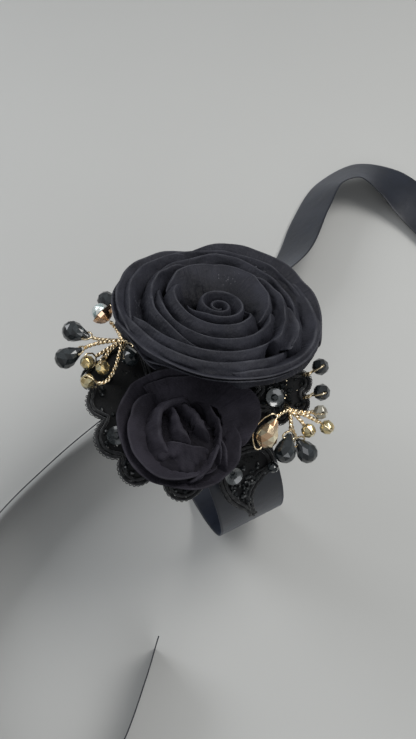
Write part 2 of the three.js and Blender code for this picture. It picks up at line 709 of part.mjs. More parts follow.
function makeCrystal(frame) {
  const radius = crystalWidth / 2;
  const facets = ballShares.map(([a, r]) => [a * radius, r * radius]);
  const ball = turned(frame.origin, frame.along, frame.side, facets, 10);
  const inner = radius + clearance;
  const outer = inner + cupWall;
  const arc = [100, 125, 150];
  const wallAt = (r, angle) => [r * Math.cos(rad(angle)), r * Math.sin(rad(angle))];
  const profile = [[-outer, 0], ...arc.toReversed().map((angle) => wallAt(outer, angle)),
    ...arc.map((angle) => wallAt(inner, angle)), [-inner, 0]];
  const cup = turned(frame.origin, frame.along, frame.side, profile, 10);
  return { ball, cup, back: outer + clearance };
}

const dropMaker = (frame, scale) => makeDrop(frame, scale);
const goldMaker = (frame, scale) => makeRound(frame, goldBeadWidth * scale);
const blackMaker = (frame, scale) => makeRound(frame, blackBeadWidth * scale);
const pearMaker = (frame) => makePear(frame);

const leftSprayShares = {
  root: [-0.24, -10, -0.012],
  hub: [-0.43, -16.5, 0.1],
  beads: [
    { name: 'left_drop_1', make: dropMaker, material: jet, at: [-0.67, -28, 0.13], to: [-0.75, -32, 0.175] },
    { name: 'left_drop_2', make: dropMaker, material: jet, at: [-0.78, -21.4, 0.1],
      to: [-0.89, -22.5, 0.075] },
    { name: 'left_drop_3', make: dropMaker, material: jet, scale: 0.8, at: [-0.42, -12.2, 0.075],
      to: [-0.44, -7, 0.06] },
    { name: 'left_drop_4', make: dropMaker, material: jet, scale: 0.9, at: [-0.33, -36, 0.22],
      to: [-0.38, -41.5, 0.25] },
    { name: 'left_gold_bead_1', make: goldMaker, material: goldGlass, at: [-0.755, -13.8, 0.085],
      to: [-0.9, -12, 0.085] },
    { name: 'left_gold_bead_2', make: goldMaker, material: goldGlass, at: [-0.67, -7.3, 0.1],
      to: [-0.75, -2, 0.09] },
    { name: 'left_gold_bead_3', make: goldMaker, material: goldGlass, at: [-0.82, -5, 0.085],
      to: [-0.9, -9, 0.085] },
  ],
  crystal: { at: [-0.473, -31, 0.235], to: [-0.5, -32.5, 0.3] },
};
const rightSprayShares = {
  root: [0.61, 27, 0.034],
  hub: [0.49, 38, 0.085],
  beads: [
    { name: 'pear_crystal', make: pearMaker, material: champagne, at: [0.262, 42.4, 0.105],
      to: [0.14, 47.2, 0.098] },
    { name: 'right_drop_1', make: dropMaker, material: jet, at: [0.479, 52.3, 0.072], to: [0.52, 59, 0.062] },
    { name: 'right_drop_2', make: dropMaker, material: jet, at: [0.392, 47.4, 0.115],
      to: [0.31, 53.6, 0.105] },
    { name: 'right_gold_bead_1', make: goldMaker, material: goldGlass, at: [0.573, 48.7, 0.09],
      to: [0.6, 53, 0.09] },
    { name: 'right_gold_bead_2', make: goldMaker, material: goldGlass, at: [0.727, 51, 0.085],
      to: [0.79, 55.5, 0.085] },
    { name: 'smoky_bead', make: goldMaker, material: smokyGlass, at: [0.715, 44.2, 0.09],
      to: [0.8, 46, 0.09] },
    { name: 'black_bead_1', make: blackMaker, material: jet, low: true, at: [0.87, 28.7, 0.06],
      to: [1, 28, 0.05] },
    { name: 'black_bead_2', make: blackMaker, material: jet, low: true, at: [0.795, 37.8, 0.06],
      to: [0.95, 39, 0.05] },
  ],
};

const stemSteps = 4;

function stem(from, to, arrive) {
  const reach = from.distanceTo(to);
  const bend = to.clone().addScaledVector(arrive, -reach / 3);
  const curve = new THREE.QuadraticBezierCurve3(from, bend, to);
  return wire(curve.getPoints(stemSteps), stemWidth / 2, wireSides, upAxis);
}

// Beads marked low branch off at the root of the spray instead of its hub.
function addSpray(name, spray) {
  const root = beadPlace(spray.root);
  const hub = beadPlace(spray.hub);
  const wires = [wire([root, root.clone().lerp(hub, 0.5), hub], trunkWidth / 2, wireSides + 1, upAxis)];
  for (const bead of spray.beads) {
    const frame = beadFrame(bead.at, bead.to);
    const made = bead.make(frame, bead.scale ?? 1);
    add(bead.name, made.body, bead.material);
    const end = frame.origin.clone().addScaledVector(frame.along, -made.back);
    wires.push(made.bail, stem(bead.low ? root : hub, end, frame.along));
  }
  if (spray.crystal) {
    const frame = beadFrame(spray.crystal.at, spray.crystal.to);
    const made = makeCrystal(frame);
    add('crystal_ball', made.ball, aurora);
    add('crystal_cup', made.cup, roseGold);
    wires.push(stem(hub, frame.origin.clone().addScaledVector(frame.along, -made.back), frame.along));
  }
  add(name, joined(wires), goldWire);
}

addSpray('left_spray_wire', leftSprayShares);
addSpray('right_spray_wire', rightSprayShares);

const sewnBead = beadFrame([0.21, 57, 0], [0.26, 58.5, 0]);
sewnBead.origin.copy(onWrist(sewnBead.origin.x, 57, laceRim + clearance + sewnBeadWidth / 2));
add('sewn_bead', makeRound(sewnBead, sewnBeadWidth).body, jet);

export default corsage;
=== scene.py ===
"""Wrist corsage: two folded fabric roses, corded lace and beaded wire sprays on a tied satin ribbon.

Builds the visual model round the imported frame. Lengths are written in millimetres in the row frame and
become metres when a mesh is made. The origin is the seat on the back of the wrist, +X runs along the
forearm, +Z points out of the back of the wrist and -Y towards the small rose.
"""

from __future__ import annotations

import logging
import math
import random
from contextlib import contextmanager
from dataclasses import dataclass, field
from enum import Enum
from typing import Any, Callable, Iterator, Sequence

import bpy
from mathutils import Matrix, Vector

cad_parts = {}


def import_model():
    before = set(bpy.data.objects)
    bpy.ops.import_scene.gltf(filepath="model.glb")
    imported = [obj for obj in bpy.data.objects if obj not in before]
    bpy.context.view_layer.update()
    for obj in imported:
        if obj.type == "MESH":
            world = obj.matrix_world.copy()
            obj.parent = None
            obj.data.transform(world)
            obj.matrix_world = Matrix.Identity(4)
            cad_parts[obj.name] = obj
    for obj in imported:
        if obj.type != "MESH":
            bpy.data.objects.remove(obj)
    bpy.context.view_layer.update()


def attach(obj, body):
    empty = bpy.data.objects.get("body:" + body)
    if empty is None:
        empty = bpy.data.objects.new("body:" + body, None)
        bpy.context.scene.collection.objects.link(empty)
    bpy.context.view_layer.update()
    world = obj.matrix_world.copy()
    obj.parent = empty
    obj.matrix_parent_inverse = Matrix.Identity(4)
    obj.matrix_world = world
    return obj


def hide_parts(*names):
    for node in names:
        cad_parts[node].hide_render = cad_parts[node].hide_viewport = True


LOG = logging.getLogger("corsage")
MM = 0.001
TURN = 2.0 * math.pi
ROOT = "corsage"
Piece = bpy.types.Object
Socket = bpy.types.NodeSocket
Colour = tuple[float, float, float]
Given = dict[str | int, Any]
Pair = tuple[float, float]
Triple = tuple[float, float, float]
Profile = Sequence[Pair]
Station = tuple[float, float, float, float, float, float]
Place = Callable[[float, float], Vector]
Outline = Callable[[float], Pair]


@dataclass(frozen=True)
class Sizes:
    """The sizes that the whole piece is built from, in millimetres and degrees.

    Attributes:
        lace_cord: How far the lace's cords stand over its ground.
        gathered: The ribbon's width where the knot draws it in.
        lace_edge: How far the lace reaches along the forearm.
        stem: How far the strands lie from the middle of a bead's stem, as trunk for a spray's trunk.
        tucked: How far a wire's root lies under the lace.
    """

    wrist: float = 33.0
    ribbon_width: float = 20.0
    ribbon: float = 0.4
    clearance: float = 0.3
    layer_gap: float = 0.5
    pad: float = 1.2
    lace: float = 0.7
    lace_cord: float = 0.6
    gathered: float = 9.0
    knot_phi: float = -125.0
    knot_radius: float = 4.0
    knot_length: float = 11.0
    lace_edge: float = 25.2
    wire: float = 0.5
    strand: float = 0.31
    stem: float = 0.28
    trunk: float = 0.42
    tucked: float = 0.2
    drill: float = 0.5

    @property
    def ribbon_outer(self) -> float:
        """The outer face of the ribbon, from the wrist's axis."""
        return self.wrist + self.ribbon

    @property
    def knot_axis(self) -> float:
        """The knot's middle line, from the wrist's axis."""
        return self.ribbon_outer + self.clearance + self.knot_radius

    @property
    def pad_inner(self) -> float:
        """The inner face of the felt, from the wrist's axis."""
        return self.ribbon_outer + self.layer_gap

    @property
    def lace_inner(self) -> float:
        """The inner face of the lace, from the wrist's axis."""
        return self.pad_inner + self.pad + self.layer_gap

    @property
    def under_lace(self) -> float:
        """Where the wires' roots lie, from the wrist's axis."""
        return self.lace_inner - self.tucked

    @property
    def lace_rim(self) -> float:
        """The top of the lace's corded rim, from the wrist's axis."""
        return self.lace_inner + self.lace + self.lace_cord

    @property
    def floor(self) -> float:
        """The height of the table."""
        return -2.0 * self.wrist - self.ribbon


SIZES = Sizes()


def lerp(start: float, end: float, share: float) -> float:
    """Returns the number a share of the way from start to end."""
    return start + (end - start) * share


def smooth(value: float, low: float, high: float) -> float:
    """Returns 0 below low, 1 above high and a smooth step between."""
    share = min(max((value - low) / (high - low), 0.0), 1.0)
    return share * share * (3.0 - 2.0 * share)


def on_wrist(x: float, phi: float, radius: float) -> Vector:
    """Places a point at x along the forearm, phi degrees round and a radius from the wrist's axis."""
    angle = math.radians(phi)
    return Vector((x, -radius * math.sin(angle), radius * math.cos(angle) - SIZES.wrist))


def outward(x: float, phi: float) -> Vector:
    """Returns the direction straight out of the wrist at a place."""
    return (on_wrist(x, phi, 1.0) - on_wrist(x, phi, 0.0)).normalized()


def circled(middle: Vector, side: Vector, rise: Vector, radius: float, angle: float) -> Vector:
    """Places a point on a circle.

    Args:
        middle: The circle's middle.
        side: The direction from which the angle counts.
        rise: The direction a quarter turn on.
        radius: The circle's radius, in millimetres.
        angle: The angle, in radians.

    Returns:
        The point, in millimetres.
    """
    return middle + side * (radius * math.cos(angle)) + rise * (radius * math.sin(angle))


def single_out(piece: Piece) -> None:
    """Selects one object alone and makes it active."""
    bpy.ops.object.select_all(action="DESELECT")
    piece.select_set(True)
    bpy.context.view_layer.objects.active = piece


@contextmanager
def editing(piece: Piece) -> Iterator[None]:
    """Opens one mesh object in edit mode, with all of it selected, for as long as the block lasts."""
    single_out(piece)
    bpy.ops.object.mode_set(mode="EDIT")
    bpy.ops.mesh.select_all(action="SELECT")
    yield
    bpy.ops.object.mode_set(mode="OBJECT")


def weld(piece: Piece, reach: float = 0.01) -> None:
    """Merges points that meet and turns the faces outwards.

    Args:
        piece: The mesh object.
        reach: How near two points are before they merge, in millimetres.
    """
    with editing(piece):
        bpy.ops.mesh.remove_doubles(threshold=reach * MM)
        bpy.ops.mesh.select_all(action="SELECT")
        bpy.ops.mesh.normals_make_consistent(inside=False)


def modify(piece: Piece, kind: str, **settings: Any) -> None:
    """Adds a modifier to a piece and applies it.

    Args:
        piece: The mesh object.
        kind: Blender's name for the modifier.
        settings: The modifier's settings.
    """
    modifier = piece.modifiers.new(kind.title(), kind)
    for name, value in settings.items():
        setattr(modifier, name, value)
    single_out(piece)
    bpy.ops.object.modifier_apply(modifier=modifier.name)


def shade(piece: Piece, angle: float = 50.0) -> None:
    """Shades a piece smooth, but for edges sharper than an angle in degrees."""
    single_out(piece)
    bpy.ops.object.shade_smooth_by_angle(angle=math.radians(angle))


def laid_grid(name: str, columns: int, rows: int, place: Place,
              cloth: Pair = (1.0, 1.0), fold: float = 0.0) -> Piece:
    """Makes a grid and lays its points on a surface.

    Args:
        name: The new object's name.
        columns: Faces along the first direction.
        rows: Faces along the second direction.
        place: Gives the point for two shares from 0 to 1, in millimetres.
        cloth: The length of each direction in millimetres, for the weave.
        fold: Where the second cloth coordinate is zero, as a share.

    Returns:
        The new object.
    """
    bpy.ops.mesh.primitive_grid_add(x_subdivisions=columns, y_subdivisions=rows, size=2.0)
    piece = bpy.context.object
    piece.name = name
    piece.data.name = name
    for vertex in piece.data.vertices:
        first = round((vertex.co.x + 1.0) / 2.0 * columns) / columns
        second = round((vertex.co.y + 1.0) / 2.0 * rows) / rows
        vertex.co = place(first, second) * MM
    for corner in piece.data.uv_layers.active.data:
        corner.uv = (corner.uv[0] * cloth[0], (corner.uv[1] - fold) * cloth[1])
    return piece


def drawn_cord(name: str, strands: Sequence[Sequence[Vector]], radius: float, fineness: int = 1,
               closed: bool = False) -> Piece:
    """Makes round cords along lists of points, as one mesh.

    Args:
        name: The new object's name.
        strands: The points of each cord, in millimetres.
        radius: The cords' radius, in millimetres.
        fineness: How round the section is.
        closed: Whether each cord is a loop.

    Returns:
        The new mesh object.
    """
    curve = bpy.data.curves.new(name, "CURVE")
    curve.dimensions = "3D"
    curve.bevel_depth = radius * MM
    curve.bevel_resolution = fineness
    curve.use_fill_caps = True
    for strand in strands:
        spline = curve.splines.new("POLY")
        spline.points.add(len(strand) - 1)
        spline.use_cyclic_u = closed
        for point, place in zip(spline.points, strand):
            point.co = (*(place * MM), 1.0)
    cord = bpy.data.objects.new(name, curve)
    bpy.context.scene.collection.objects.link(cord)
    single_out(cord)
    bpy.ops.object.convert(target="MESH")
    piece = bpy.context.object
    piece.name = name
    shade(piece, 60.0)
    return piece


def merged(name: str, pieces: Sequence[Piece]) -> Piece:
    """Joins several meshes.

    Args:
        name: The name of what they become.
        pieces: The meshes.

    Returns:
        The first of them, which holds them all.
    """
    bpy.ops.object.select_all(action="DESELECT")
    for piece in pieces:
        piece.select_set(True)
    bpy.context.view_layer.objects.active = pieces[0]
    if len(pieces) > 1:
        bpy.ops.object.join()
    pieces[0].name = name
    return pieces[0]


def copies(name: str, model: Piece, places: Sequence[Matrix]) -> Piece:
    """Copies a small model to many places, each copy with its own mesh, and joins them.

    Args:
        name: The joined object's name.
        model: The model, which is taken away afterwards.
        places: One transform for each copy, in metres.

    Returns:
        The joined object.
    """
    made = []
    for place in places:
        mesh = model.data.copy()
        mesh.transform(place)
        copy = bpy.data.objects.new(name, mesh)
        bpy.context.scene.collection.objects.link(copy)
        made.append(copy)
    bpy.data.objects.remove(model)
    return merged(name, made)


def spun(start: Vector, along: Vector, side: Vector, profile: Profile, sides: int, name: str,
         twist: float = 0.0) -> Piece:
    """Turns a profile about a line, with flat facets.

    Args:
        start: A point on the line, in millimetres.
        along: The line's direction.
        side: A direction across it.
        profile: Pairs of distance along the line and radius, from end to end.
        sides: Facets round the body.
        name: The new object's name.
        twist: How far each ring turns against the last, as a share of a facet.

    Returns:
        The new object.
    """
    across = along.cross(side)
    last = len(profile) - 1

    def place(first: float, second: float) -> Vector:
        """Gives a point on the turned body."""
        ring = round(first * last)
        distance, radius = profile[ring]
        return circled(start + along * distance, side, across, radius, TURN * (second + twist * ring / sides))

    piece = laid_grid(name, last, sides, place, (last, sides))
    weld(piece)
    with editing(piece):
        bpy.ops.mesh.quads_convert_to_tris(quad_method="BEAUTY")
    return piece


def catmull(points: Sequence[Vector], share: float, even: bool) -> Vector:
    """Gives a point on a smooth curve through points.

    Args:
        points: The points that the curve passes through.
        share: How far along, from 0 to 1, counted in spans.
        even: True to treat all spans alike, False to follow their lengths.

    Returns:
        The point on the curve.
    """
    spans = len(points) - 1
    index = min(int(share * spans), spans - 1)
    inner = share * spans - index
    here, ahead = points[index], points[index + 1]
    before = points[index - 1] if index > 0 else here * 2.0 - ahead
    after = points[index + 2] if index + 2 <= spans else ahead * 2.0 - here
    if even:
        leave, arrive = (ahead - before) * 0.5, (after - here) * 0.5
    else:
        first = math.sqrt((here - before).length)
        middle = math.sqrt((ahead - here).length)
        last = math.sqrt((after - ahead).length)
        slope = (ahead - here) / middle
        leave = ((here - before) / first - (ahead - before) / (first + middle) + slope) * middle
        arrive = (slope - (after - here) / (middle + last) + (after - ahead) / last) * middle
    two, three = inner * inner, inner ** 3
    return (here * (2 * three - 3 * two + 1) + leave * (three - 2 * two + inner)
            + ahead * (3 * two - 2 * three) + arrive * (three - two))


class Sum:
    """A shader number that Python arithmetic turns into Math nodes."""

    def __init__(self, tree: Tree, socket: Socket) -> None:
        """Wraps an output socket of a tree."""
        self.tree = tree
        self.socket = socket

    def __add__(self, other: Any) -> Sum:
        """Adds."""
        return self.tree.math("ADD", self, other)

    __radd__ = __add__

    def __sub__(self, other: Any) -> Sum:
        """Subtracts."""
        return self.tree.math("SUBTRACT", self, other)

    def __rsub__(self, other: Any) -> Sum:
        """Subtracts from a number."""
        return self.tree.math("SUBTRACT", other, self)

    def __mul__(self, other: Any) -> Sum:
        """Multiplies."""
        return self.tree.math("MULTIPLY", self, other)

    __rmul__ = __mul__

    def __pow__(self, other: Any) -> Sum:
        """Raises to a power."""
        return self.tree.math("POWER", self, other)


class Tree:
    """The node tree of one material, or of the world."""

    def __init__(self, owner: bpy.types.ID) -> None:
        """Empties the owner's node tree."""
        owner.use_nodes = True
        self.nodes = owner.node_tree.nodes
        self.links = owner.node_tree.links
        self.nodes.clear()

    def node(self, kind: str, settings: Given | None = None, values: Given | None = None) -> bpy.types.Node:
        """Adds a node.

        Args:
            kind: Blender's name for the node's type.
            settings: The node's own settings, set first. The stops of a ramp are pairs of place and colour.
            values: What each input socket is set or linked to.

        Returns:
            The node.
        """
        made = self.nodes.new(kind)
        for name, value in (settings or {}).items():
            if name == "stops":
                self.set_stops(made.color_ramp.elements, value)
            else:
                setattr(made, name, value)
        for name, value in (values or {}).items():
            socket = made.inputs[name]
            if isinstance(value, Sum):
                self.links.new(value.socket, socket)
            elif isinstance(value, Socket):
                self.links.new(value, socket)
            elif socket.type == "RGBA" and len(value) == 3:
                socket.default_value = (*value, 1.0)
            else:
                socket.default_value = value
        return made

    def set_stops(self, ramp: bpy.types.bpy_prop_collection, stops: Sequence[tuple[float, Colour]]) -> None:
        """Gives a ramp its stops.

        Args:
            ramp: The ramp's own list of stops.
            stops: The place and the colour of each.
        """
        while len(ramp) < len(stops):
            ramp.new(0.5)
        for stop, (place, colour) in zip(ramp, stops):
            stop.position = place
            stop.color = (*colour, 1.0)

    def number(self, kind: str, settings: Given | None = None, values: Given | None = None,
               output: str | int = 0) -> Sum:
        """Adds a node and gives one of its outputs as a number for arithmetic."""
        return Sum(self, self.node(kind, settings, values).outputs[output])

    def math(self, operation: str, first: Any, second: Any = 0.0) -> Sum:
        """Adds a Math node."""
        return self.number("ShaderNodeMath", {"operation": operation}, {0: first, 1: second})

    def span(self, value: Any, low: float, high: float) -> Sum:
        """Gives 0 at low, 1 at high and a smooth step between."""
        return self.number("ShaderNodeMapRange", {"interpolation_type": "SMOOTHSTEP"}, {
            "Value": value, "From Min": low, "From Max": high})

    def blend(self, factor: Any, first: Any, second: Any) -> Socket:
        """Mixes two colours."""
        made = self.node("ShaderNodeMix", {"data_type": "RGBA"}, {0: factor, 6: first, 7: second})
        return made.outputs[2]

    def vector(self, operation: str, first: Any, second: Any = (0.0, 0.0, 0.0)) -> bpy.types.Node:
        """Adds a Vector Math node."""
        return self.node("ShaderNodeVectorMath", {"operation": operation}, {0: first, 1: second})

    def where(self, kind: str = "Object") -> Socket:
        """Gives one of the texture coordinates."""
        return self.node("ShaderNodeTexCoord").outputs[kind]

    def apart(self, vector: Socket) -> list[Sum]:
        """Takes a vector apart into its three numbers."""
        return [Sum(self, output) for output in self.node("ShaderNodeSeparateXYZ", {}, {0: vector}).outputs]

    def noise(self, scale: float, detail: float = 2.0, where: Socket | None = None) -> Sum:
        """Gives a noise of a scale, in features per metre, on Object coordinates or those given."""
        return self.number("ShaderNodeTexNoise", {}, {
            "Vector": where or self.where(), "Scale": scale, "Detail": detail})

    def cells(self, scale: float, feature: str) -> Sum:
        """Gives the distance in a pattern of cells of a scale, in cells per metre."""
        return self.number("ShaderNodeTexVoronoi", {"feature": feature}, {
            "Vector": self.where(), "Scale": scale}, "Distance")

    def weave(self, pitch: float, slant: float = 0.0) -> Sum:
        """Gives threads crossing at a pitch in millimetres, on the piece's own cloth coordinates.

        Args:
            pitch: The distance between threads, in millimetres.
            slant: How much the lines lean, as on a twill.

        Returns:
            The height of the threads, about 0 to 1.
        """
        along, across, _ = self.apart(self.where("UV"))
        first = along * (TURN / pitch)
        second = across * (TURN / pitch)
        over = self.math("SINE", first + second * slant)
        under = self.math("SINE", second - first * slant)
        return over * under * 0.5 + 0.5

    def shader(self, values: Given) -> None:
        """Adds the surface shader and links it to the output."""
        made = self.node("ShaderNodeBsdfPrincipled", {}, values)
        self.node("ShaderNodeOutputMaterial", {}, {"Surface": made.outputs[0]})

    def bump(self, height: Any, depth: float, strength: float = 1.0,
             below: Socket | None = None) -> Socket:
        """Gives a normal from a height.

        Args:
            height: The height, about 0 to 1.
            depth: What a height of 1 stands for, in millimetres.
            strength: How much of it is used.
            below: A normal that it is laid over.

        Returns:
            The normal.
        """
        values = {"Height": height, "Distance": depth * MM, "Strength": strength}
        if below is not None:
            values["Normal"] = below
        return self.node("ShaderNodeBump", {}, values).outputs[0]


def toned(colour: Colour, share: float) -> Colour:
    """Returns a colour made darker or paler by a share."""
    red, green, blue = colour
    return share * red, share * green, share * blue


@dataclass(frozen=True)
class Finish:
    """What every finish has: the record's slot, and its own name where one slot has several finishes."""

    slot: str
    colour: Colour
    label: str = ""

    def build(self, tree: Tree) -> None:
        """Builds the nodes of the finish."""
        raise NotImplementedError

    def dress(self, piece: Piece) -> Piece:
        """Puts the finish on a piece and names its slot.

        Args:
            piece: The piece.

        Returns:
            The same piece.
        """
        name = self.label or f"{self.slot}_{type(self).__name__.lower()}"
        material = bpy.data.materials.get(name)
        if material is None:
            material = bpy.data.materials.new(name)
            self.build(Tree(material))
        piece.data.materials.clear()
        piece.data.materials.append(material)
        return piece


@dataclass(frozen=True)
class Cloth(Finish):
    """Woven fabric: fine threads, a sheen and slow changes of tone. Depths and spans are in millimetres.

    Attributes:
        slub: How much the tone wanders.
        gather_run: How close the gathers lie along the cloth and across it, per millimetre.
        painted_crevice_shade: How much painted shade darkens the cloth deep below the lip, where the crevices
            between folds lie, reached over painted_crevice_shade_span.
        glitter: The middles and reaches of the patches with fine glitter.
        edge: How much the folded lip is painted paler, a painted highlight where the fold catches the light,
            which fades over lip_highlight_span.
    """

    roughness: float = 0.6
    sheen: float = 0.3
    sheen_colour: Colour = (0.5, 0.5, 0.56)
    gloss: float = 0.4
    pitch: float = 0.3
    slub: float = 0.25
    crease: float = 0.05
    gather: float = 0.5
    gather_run: Triple = (0.9, 0.06, 1.0)
    painted_crevice_shade: float = 0.0
    painted_crevice_shade_span: Pair = (1.2, 7.0)
    glitter: Sequence[tuple[float, float, float, float]] = ()
    glitter_colour: Colour = (0.42, 0.42, 0.45)
    edge: float = 0.0
    lip_highlight_span: Pair = (0.15, 0.9)
    lip_highlight_colour: Colour = (0.05, 0.05, 0.055)

    def build(self, tree: Tree) -> None:
        """Builds the nodes of the fabric.

        Args:
            tree: The material's node tree.
        """
        drift = tree.noise(140.0, 3.0)
        threads = tree.weave(self.pitch, 0.5)
        below = tree.math("ABSOLUTE", tree.apart(tree.where("UV"))[1])
        pale = toned(self.colour, 1.0 + 2.2 * self.slub)
        deep = toned(self.colour, 1.0 - 1.2 * self.slub)
        tone = tree.blend(tree.span(drift, 0.3, 0.7) * 0.7 + threads * 0.3, deep, pale)
        # Painted shade: the cloth is painted darker deep below the lip, standing in for the shade in the
        # crevices between folds.
        tone = tree.blend(tree.span(below, *self.painted_crevice_shade_span) * self.painted_crevice_shade, tone, toned(self.colour, 0.2))
        # Painted highlight: the folded lip is painted paler where it catches the light, broken up in patches
        # by a noise.
        lip = 1.0 - tree.span(below, *self.lip_highlight_span)
        patchy_lip_highlight = tree.span(tree.noise(230.0), 0.34, 0.64) * 0.75 + 0.25
        tone = tree.blend(lip * patchy_lip_highlight * self.edge, tone, self.lip_highlight_colour)
        if self.glitter:
            tone = self.glittered(tree, tone)
        run = tree.vector("MULTIPLY", tree.where("UV"), self.gather_run)
        normal = tree.bump(tree.noise(1.0, 3.0, run.outputs[0]), self.gather)
        normal = tree.bump(tree.noise(900.0), self.crease, 1.0, normal)
        normal = tree.bump(threads, self.pitch * 0.12, 0.6, normal)
        tree.shader({"Base Color": tone, "Roughness": self.roughness + (drift - 0.5) * 0.2,
                     "Specular IOR Level": self.gloss, "Sheen Weight": self.sheen, "Sheen Roughness": 0.5,
                     "Sheen Tint": (*self.sheen_colour, 1.0), "Normal": normal})

    def glittered(self, tree: Tree, tone: Socket) -> Socket:
        """Lays fine specks of glitter over the cloth, in the patches.

        Args:
            tree: The material's node tree.
            tone: The cloth's colour.

        Returns:
            The colour with the glitter.
        """
        specks = 1.0 - tree.span(tree.cells(1900.0, "F1"), 0.1, 0.24)
        patch: Any = 0.0
        for *middle, reach in self.glitter:
            away = Sum(tree, tree.vector("DISTANCE", tree.where(), Vector(middle) * MM).outputs["Value"])
            patch = tree.math("MAXIMUM", patch, 1.0 - tree.span(away, 0.4 * reach * MM, reach * MM))
        kept = tree.span(tree.noise(700.0, 1.0), 0.48, 0.56)
        return tree.blend(specks * patch * kept * 0.75, tone, self.glitter_colour)


@dataclass(frozen=True)
class Satin(Finish):
    """Satin ribbon: long glossy floats along it, fine ribs across it and a woven edge, in millimetres."""

    roughness: float = 0.36
    gloss: float = 0.6
    float_pitch: float = 0.28
    rib_pitch: float = 0.22
    selvage: Pair = (9.2, 9.6)

    def build(self, tree: Tree) -> None:
        """Builds the nodes of the satin.

        Args:
            tree: The material's node tree.
        """
        across, along, _ = tree.apart(tree.where("UV"))
        floats = tree.math("SINE", across * (TURN / self.float_pitch)) * 0.5 + 0.5
        ribs = tree.math("SINE", along * (TURN / self.rib_pitch)) * 0.5 + 0.5
        edge = tree.span(tree.math("ABSOLUTE", across - SIZES.ribbon_width / 2.0), *self.selvage)
        drift = tree.noise(110.0, 3.0)
        tone = tree.blend(tree.span(drift, 0.3, 0.7), toned(self.colour, 0.8), toned(self.colour, 1.3))
        tone = tree.blend(edge * 0.5, tone, toned(self.colour, 0.6))
        normal = tree.bump(tree.noise(260.0), 0.12, 0.7)
        normal = tree.bump(floats * 0.6 + ribs * 0.4 + edge * 2.0, 0.012, 0.8, normal)
        tree.shader({"Base Color": tone, "Roughness": self.roughness + (drift - 0.5) * 0.16 + edge * 0.15,
                     "Specular IOR Level": self.gloss, "Sheen Weight": 0.12, "Sheen Roughness": 0.4,
                     "Sheen Tint": (0.5, 0.6, 0.85, 1.0), "Normal": normal})


@dataclass(frozen=True)
class Cord(Finish):
    """Fine corded thread, with the turns of its twist."""

    def build(self, tree: Tree) -> None:
        """Builds the nodes of the cord."""
        lay = tree.noise(1700.0)
        tone = tree.blend(tree.span(lay, 0.35, 0.7), toned(self.colour, 0.5), toned(self.colour, 1.9))
        tree.shader({"Base Color": tone, "Roughness": 0.62, "Specular IOR Level": 0.35, "Sheen Weight": 0.25,
                     "Sheen Roughness": 0.45, "Normal": tree.bump(lay, 0.12)})


@dataclass(frozen=True)
class Net(Finish):
    """Tulle: a fine open mesh of threads with cells in millimetres, see-through between them."""

    cell: float = 0.75

    def build(self, tree: Tree) -> None:
        """Builds the nodes of the net.

        Args:
            tree: The material's node tree.
        """
        thread = 1.0 - tree.span(tree.cells(1.0 / (self.cell * MM), "DISTANCE_TO_EDGE"), 0.14, 0.26)
        stitch = tree.span(tree.noise(420.0), 0.3, 0.4)
        cover = tree.math("MAXIMUM", thread, stitch)
        tone = tree.blend(stitch, toned(self.colour, 0.7), toned(self.colour, 1.4))
        tree.shader({"Base Color": tone, "Roughness": 0.7, "Alpha": cover, "Sheen Weight": 0.06,
                     "Specular IOR Level": 0.25,
                     "Normal": tree.bump(cover * 0.6 + tree.noise(1500.0) * 0.4, 0.15)})


@dataclass(frozen=True)
class Glass(Finish):
    """Cut glass: a clear gloss, a coat on some, and facets that each have a tone between two colours, the
    paler second colour a painted reflection on the facets.
    """

    metal: float = 0.0
    roughness: float = 0.06
    gloss: float = 0.7
    coat: float = 0.0
    # The paler tone that some facets are painted with, a painted reflection.
    second: Colour = (1.0, 1.0, 1.0)

    def build(self, tree: Tree) -> None:
        """Builds the nodes of the glass.

        Args:
            tree: The material's node tree.
        """
        # Painted reflection: each facet is painted at random between the glass's colour and the paler second
        # one, standing in for facets that catch the light.
        facet = tree.number("ShaderNodeTexWhiteNoise", {"noise_dimensions": "3D"}, {
            "Vector": tree.vector("FLOOR", tree.where("UV")).outputs[0]})
        tone = tree.blend(facet ** 1.6, self.colour, self.second)
        scuffs = tree.span(tree.noise(2600.0), 0.45, 0.75)
        tree.shader({"Base Color": tone, "Roughness": self.roughness + scuffs * 0.08, "Metallic": self.metal,
                     "Coat Weight": self.coat, "Coat Roughness": 0.04, "Specular IOR Level": self.gloss,
                     "Normal": tree.bump(tree.noise(330.0), 0.05, 0.35)})


@dataclass(frozen=True)
class Plated(Finish):
    """Plated metal: bright, with fine drawing marks and a little dullness in patches."""

    roughness: float = 0.22

    def build(self, tree: Tree) -> None:
        """Builds the nodes of the metal.

        Args:
            tree: The material's node tree.
        """
        drift = tree.noise(420.0, 3.0)
        tone = tree.blend(tree.span(drift, 0.3, 0.7), toned(self.colour, 0.8), self.colour)
        tree.shader({"Base Color": tone, "Metallic": 1.0, "Roughness": self.roughness + (drift - 0.5) * 0.15,
                     "Normal": tree.bump(tree.noise(2600.0), 0.02, 0.5)})


@dataclass(frozen=True)
class Plaster(Finish):
    """The pale floor of the studio."""

    def build(self, tree: Tree) -> None:
        """Builds the nodes of the floor."""
        tone = tree.blend(tree.noise(9.0, 3.0), toned(self.colour, 0.97), toned(self.colour, 1.03))
        tree.shader({"Base Color": tone, "Roughness": 0.9, "Specular IOR Level": 0.2})


GLITTER = ((-6.2, 12.1, 15.6, 4.5), (17.8, 15.7, 6.3, 3.5), (20.7, 13.0, 5.7, 4.0), (29.0, 17.0, 2.6, 4.5),
           (14.1, 10.7, 7.7, 2.5), (-5.3, -9.1, 20.8, 2.0))
SATIN = Satin("satin", (0.0068, 0.0092, 0.0165), gloss=0.52)
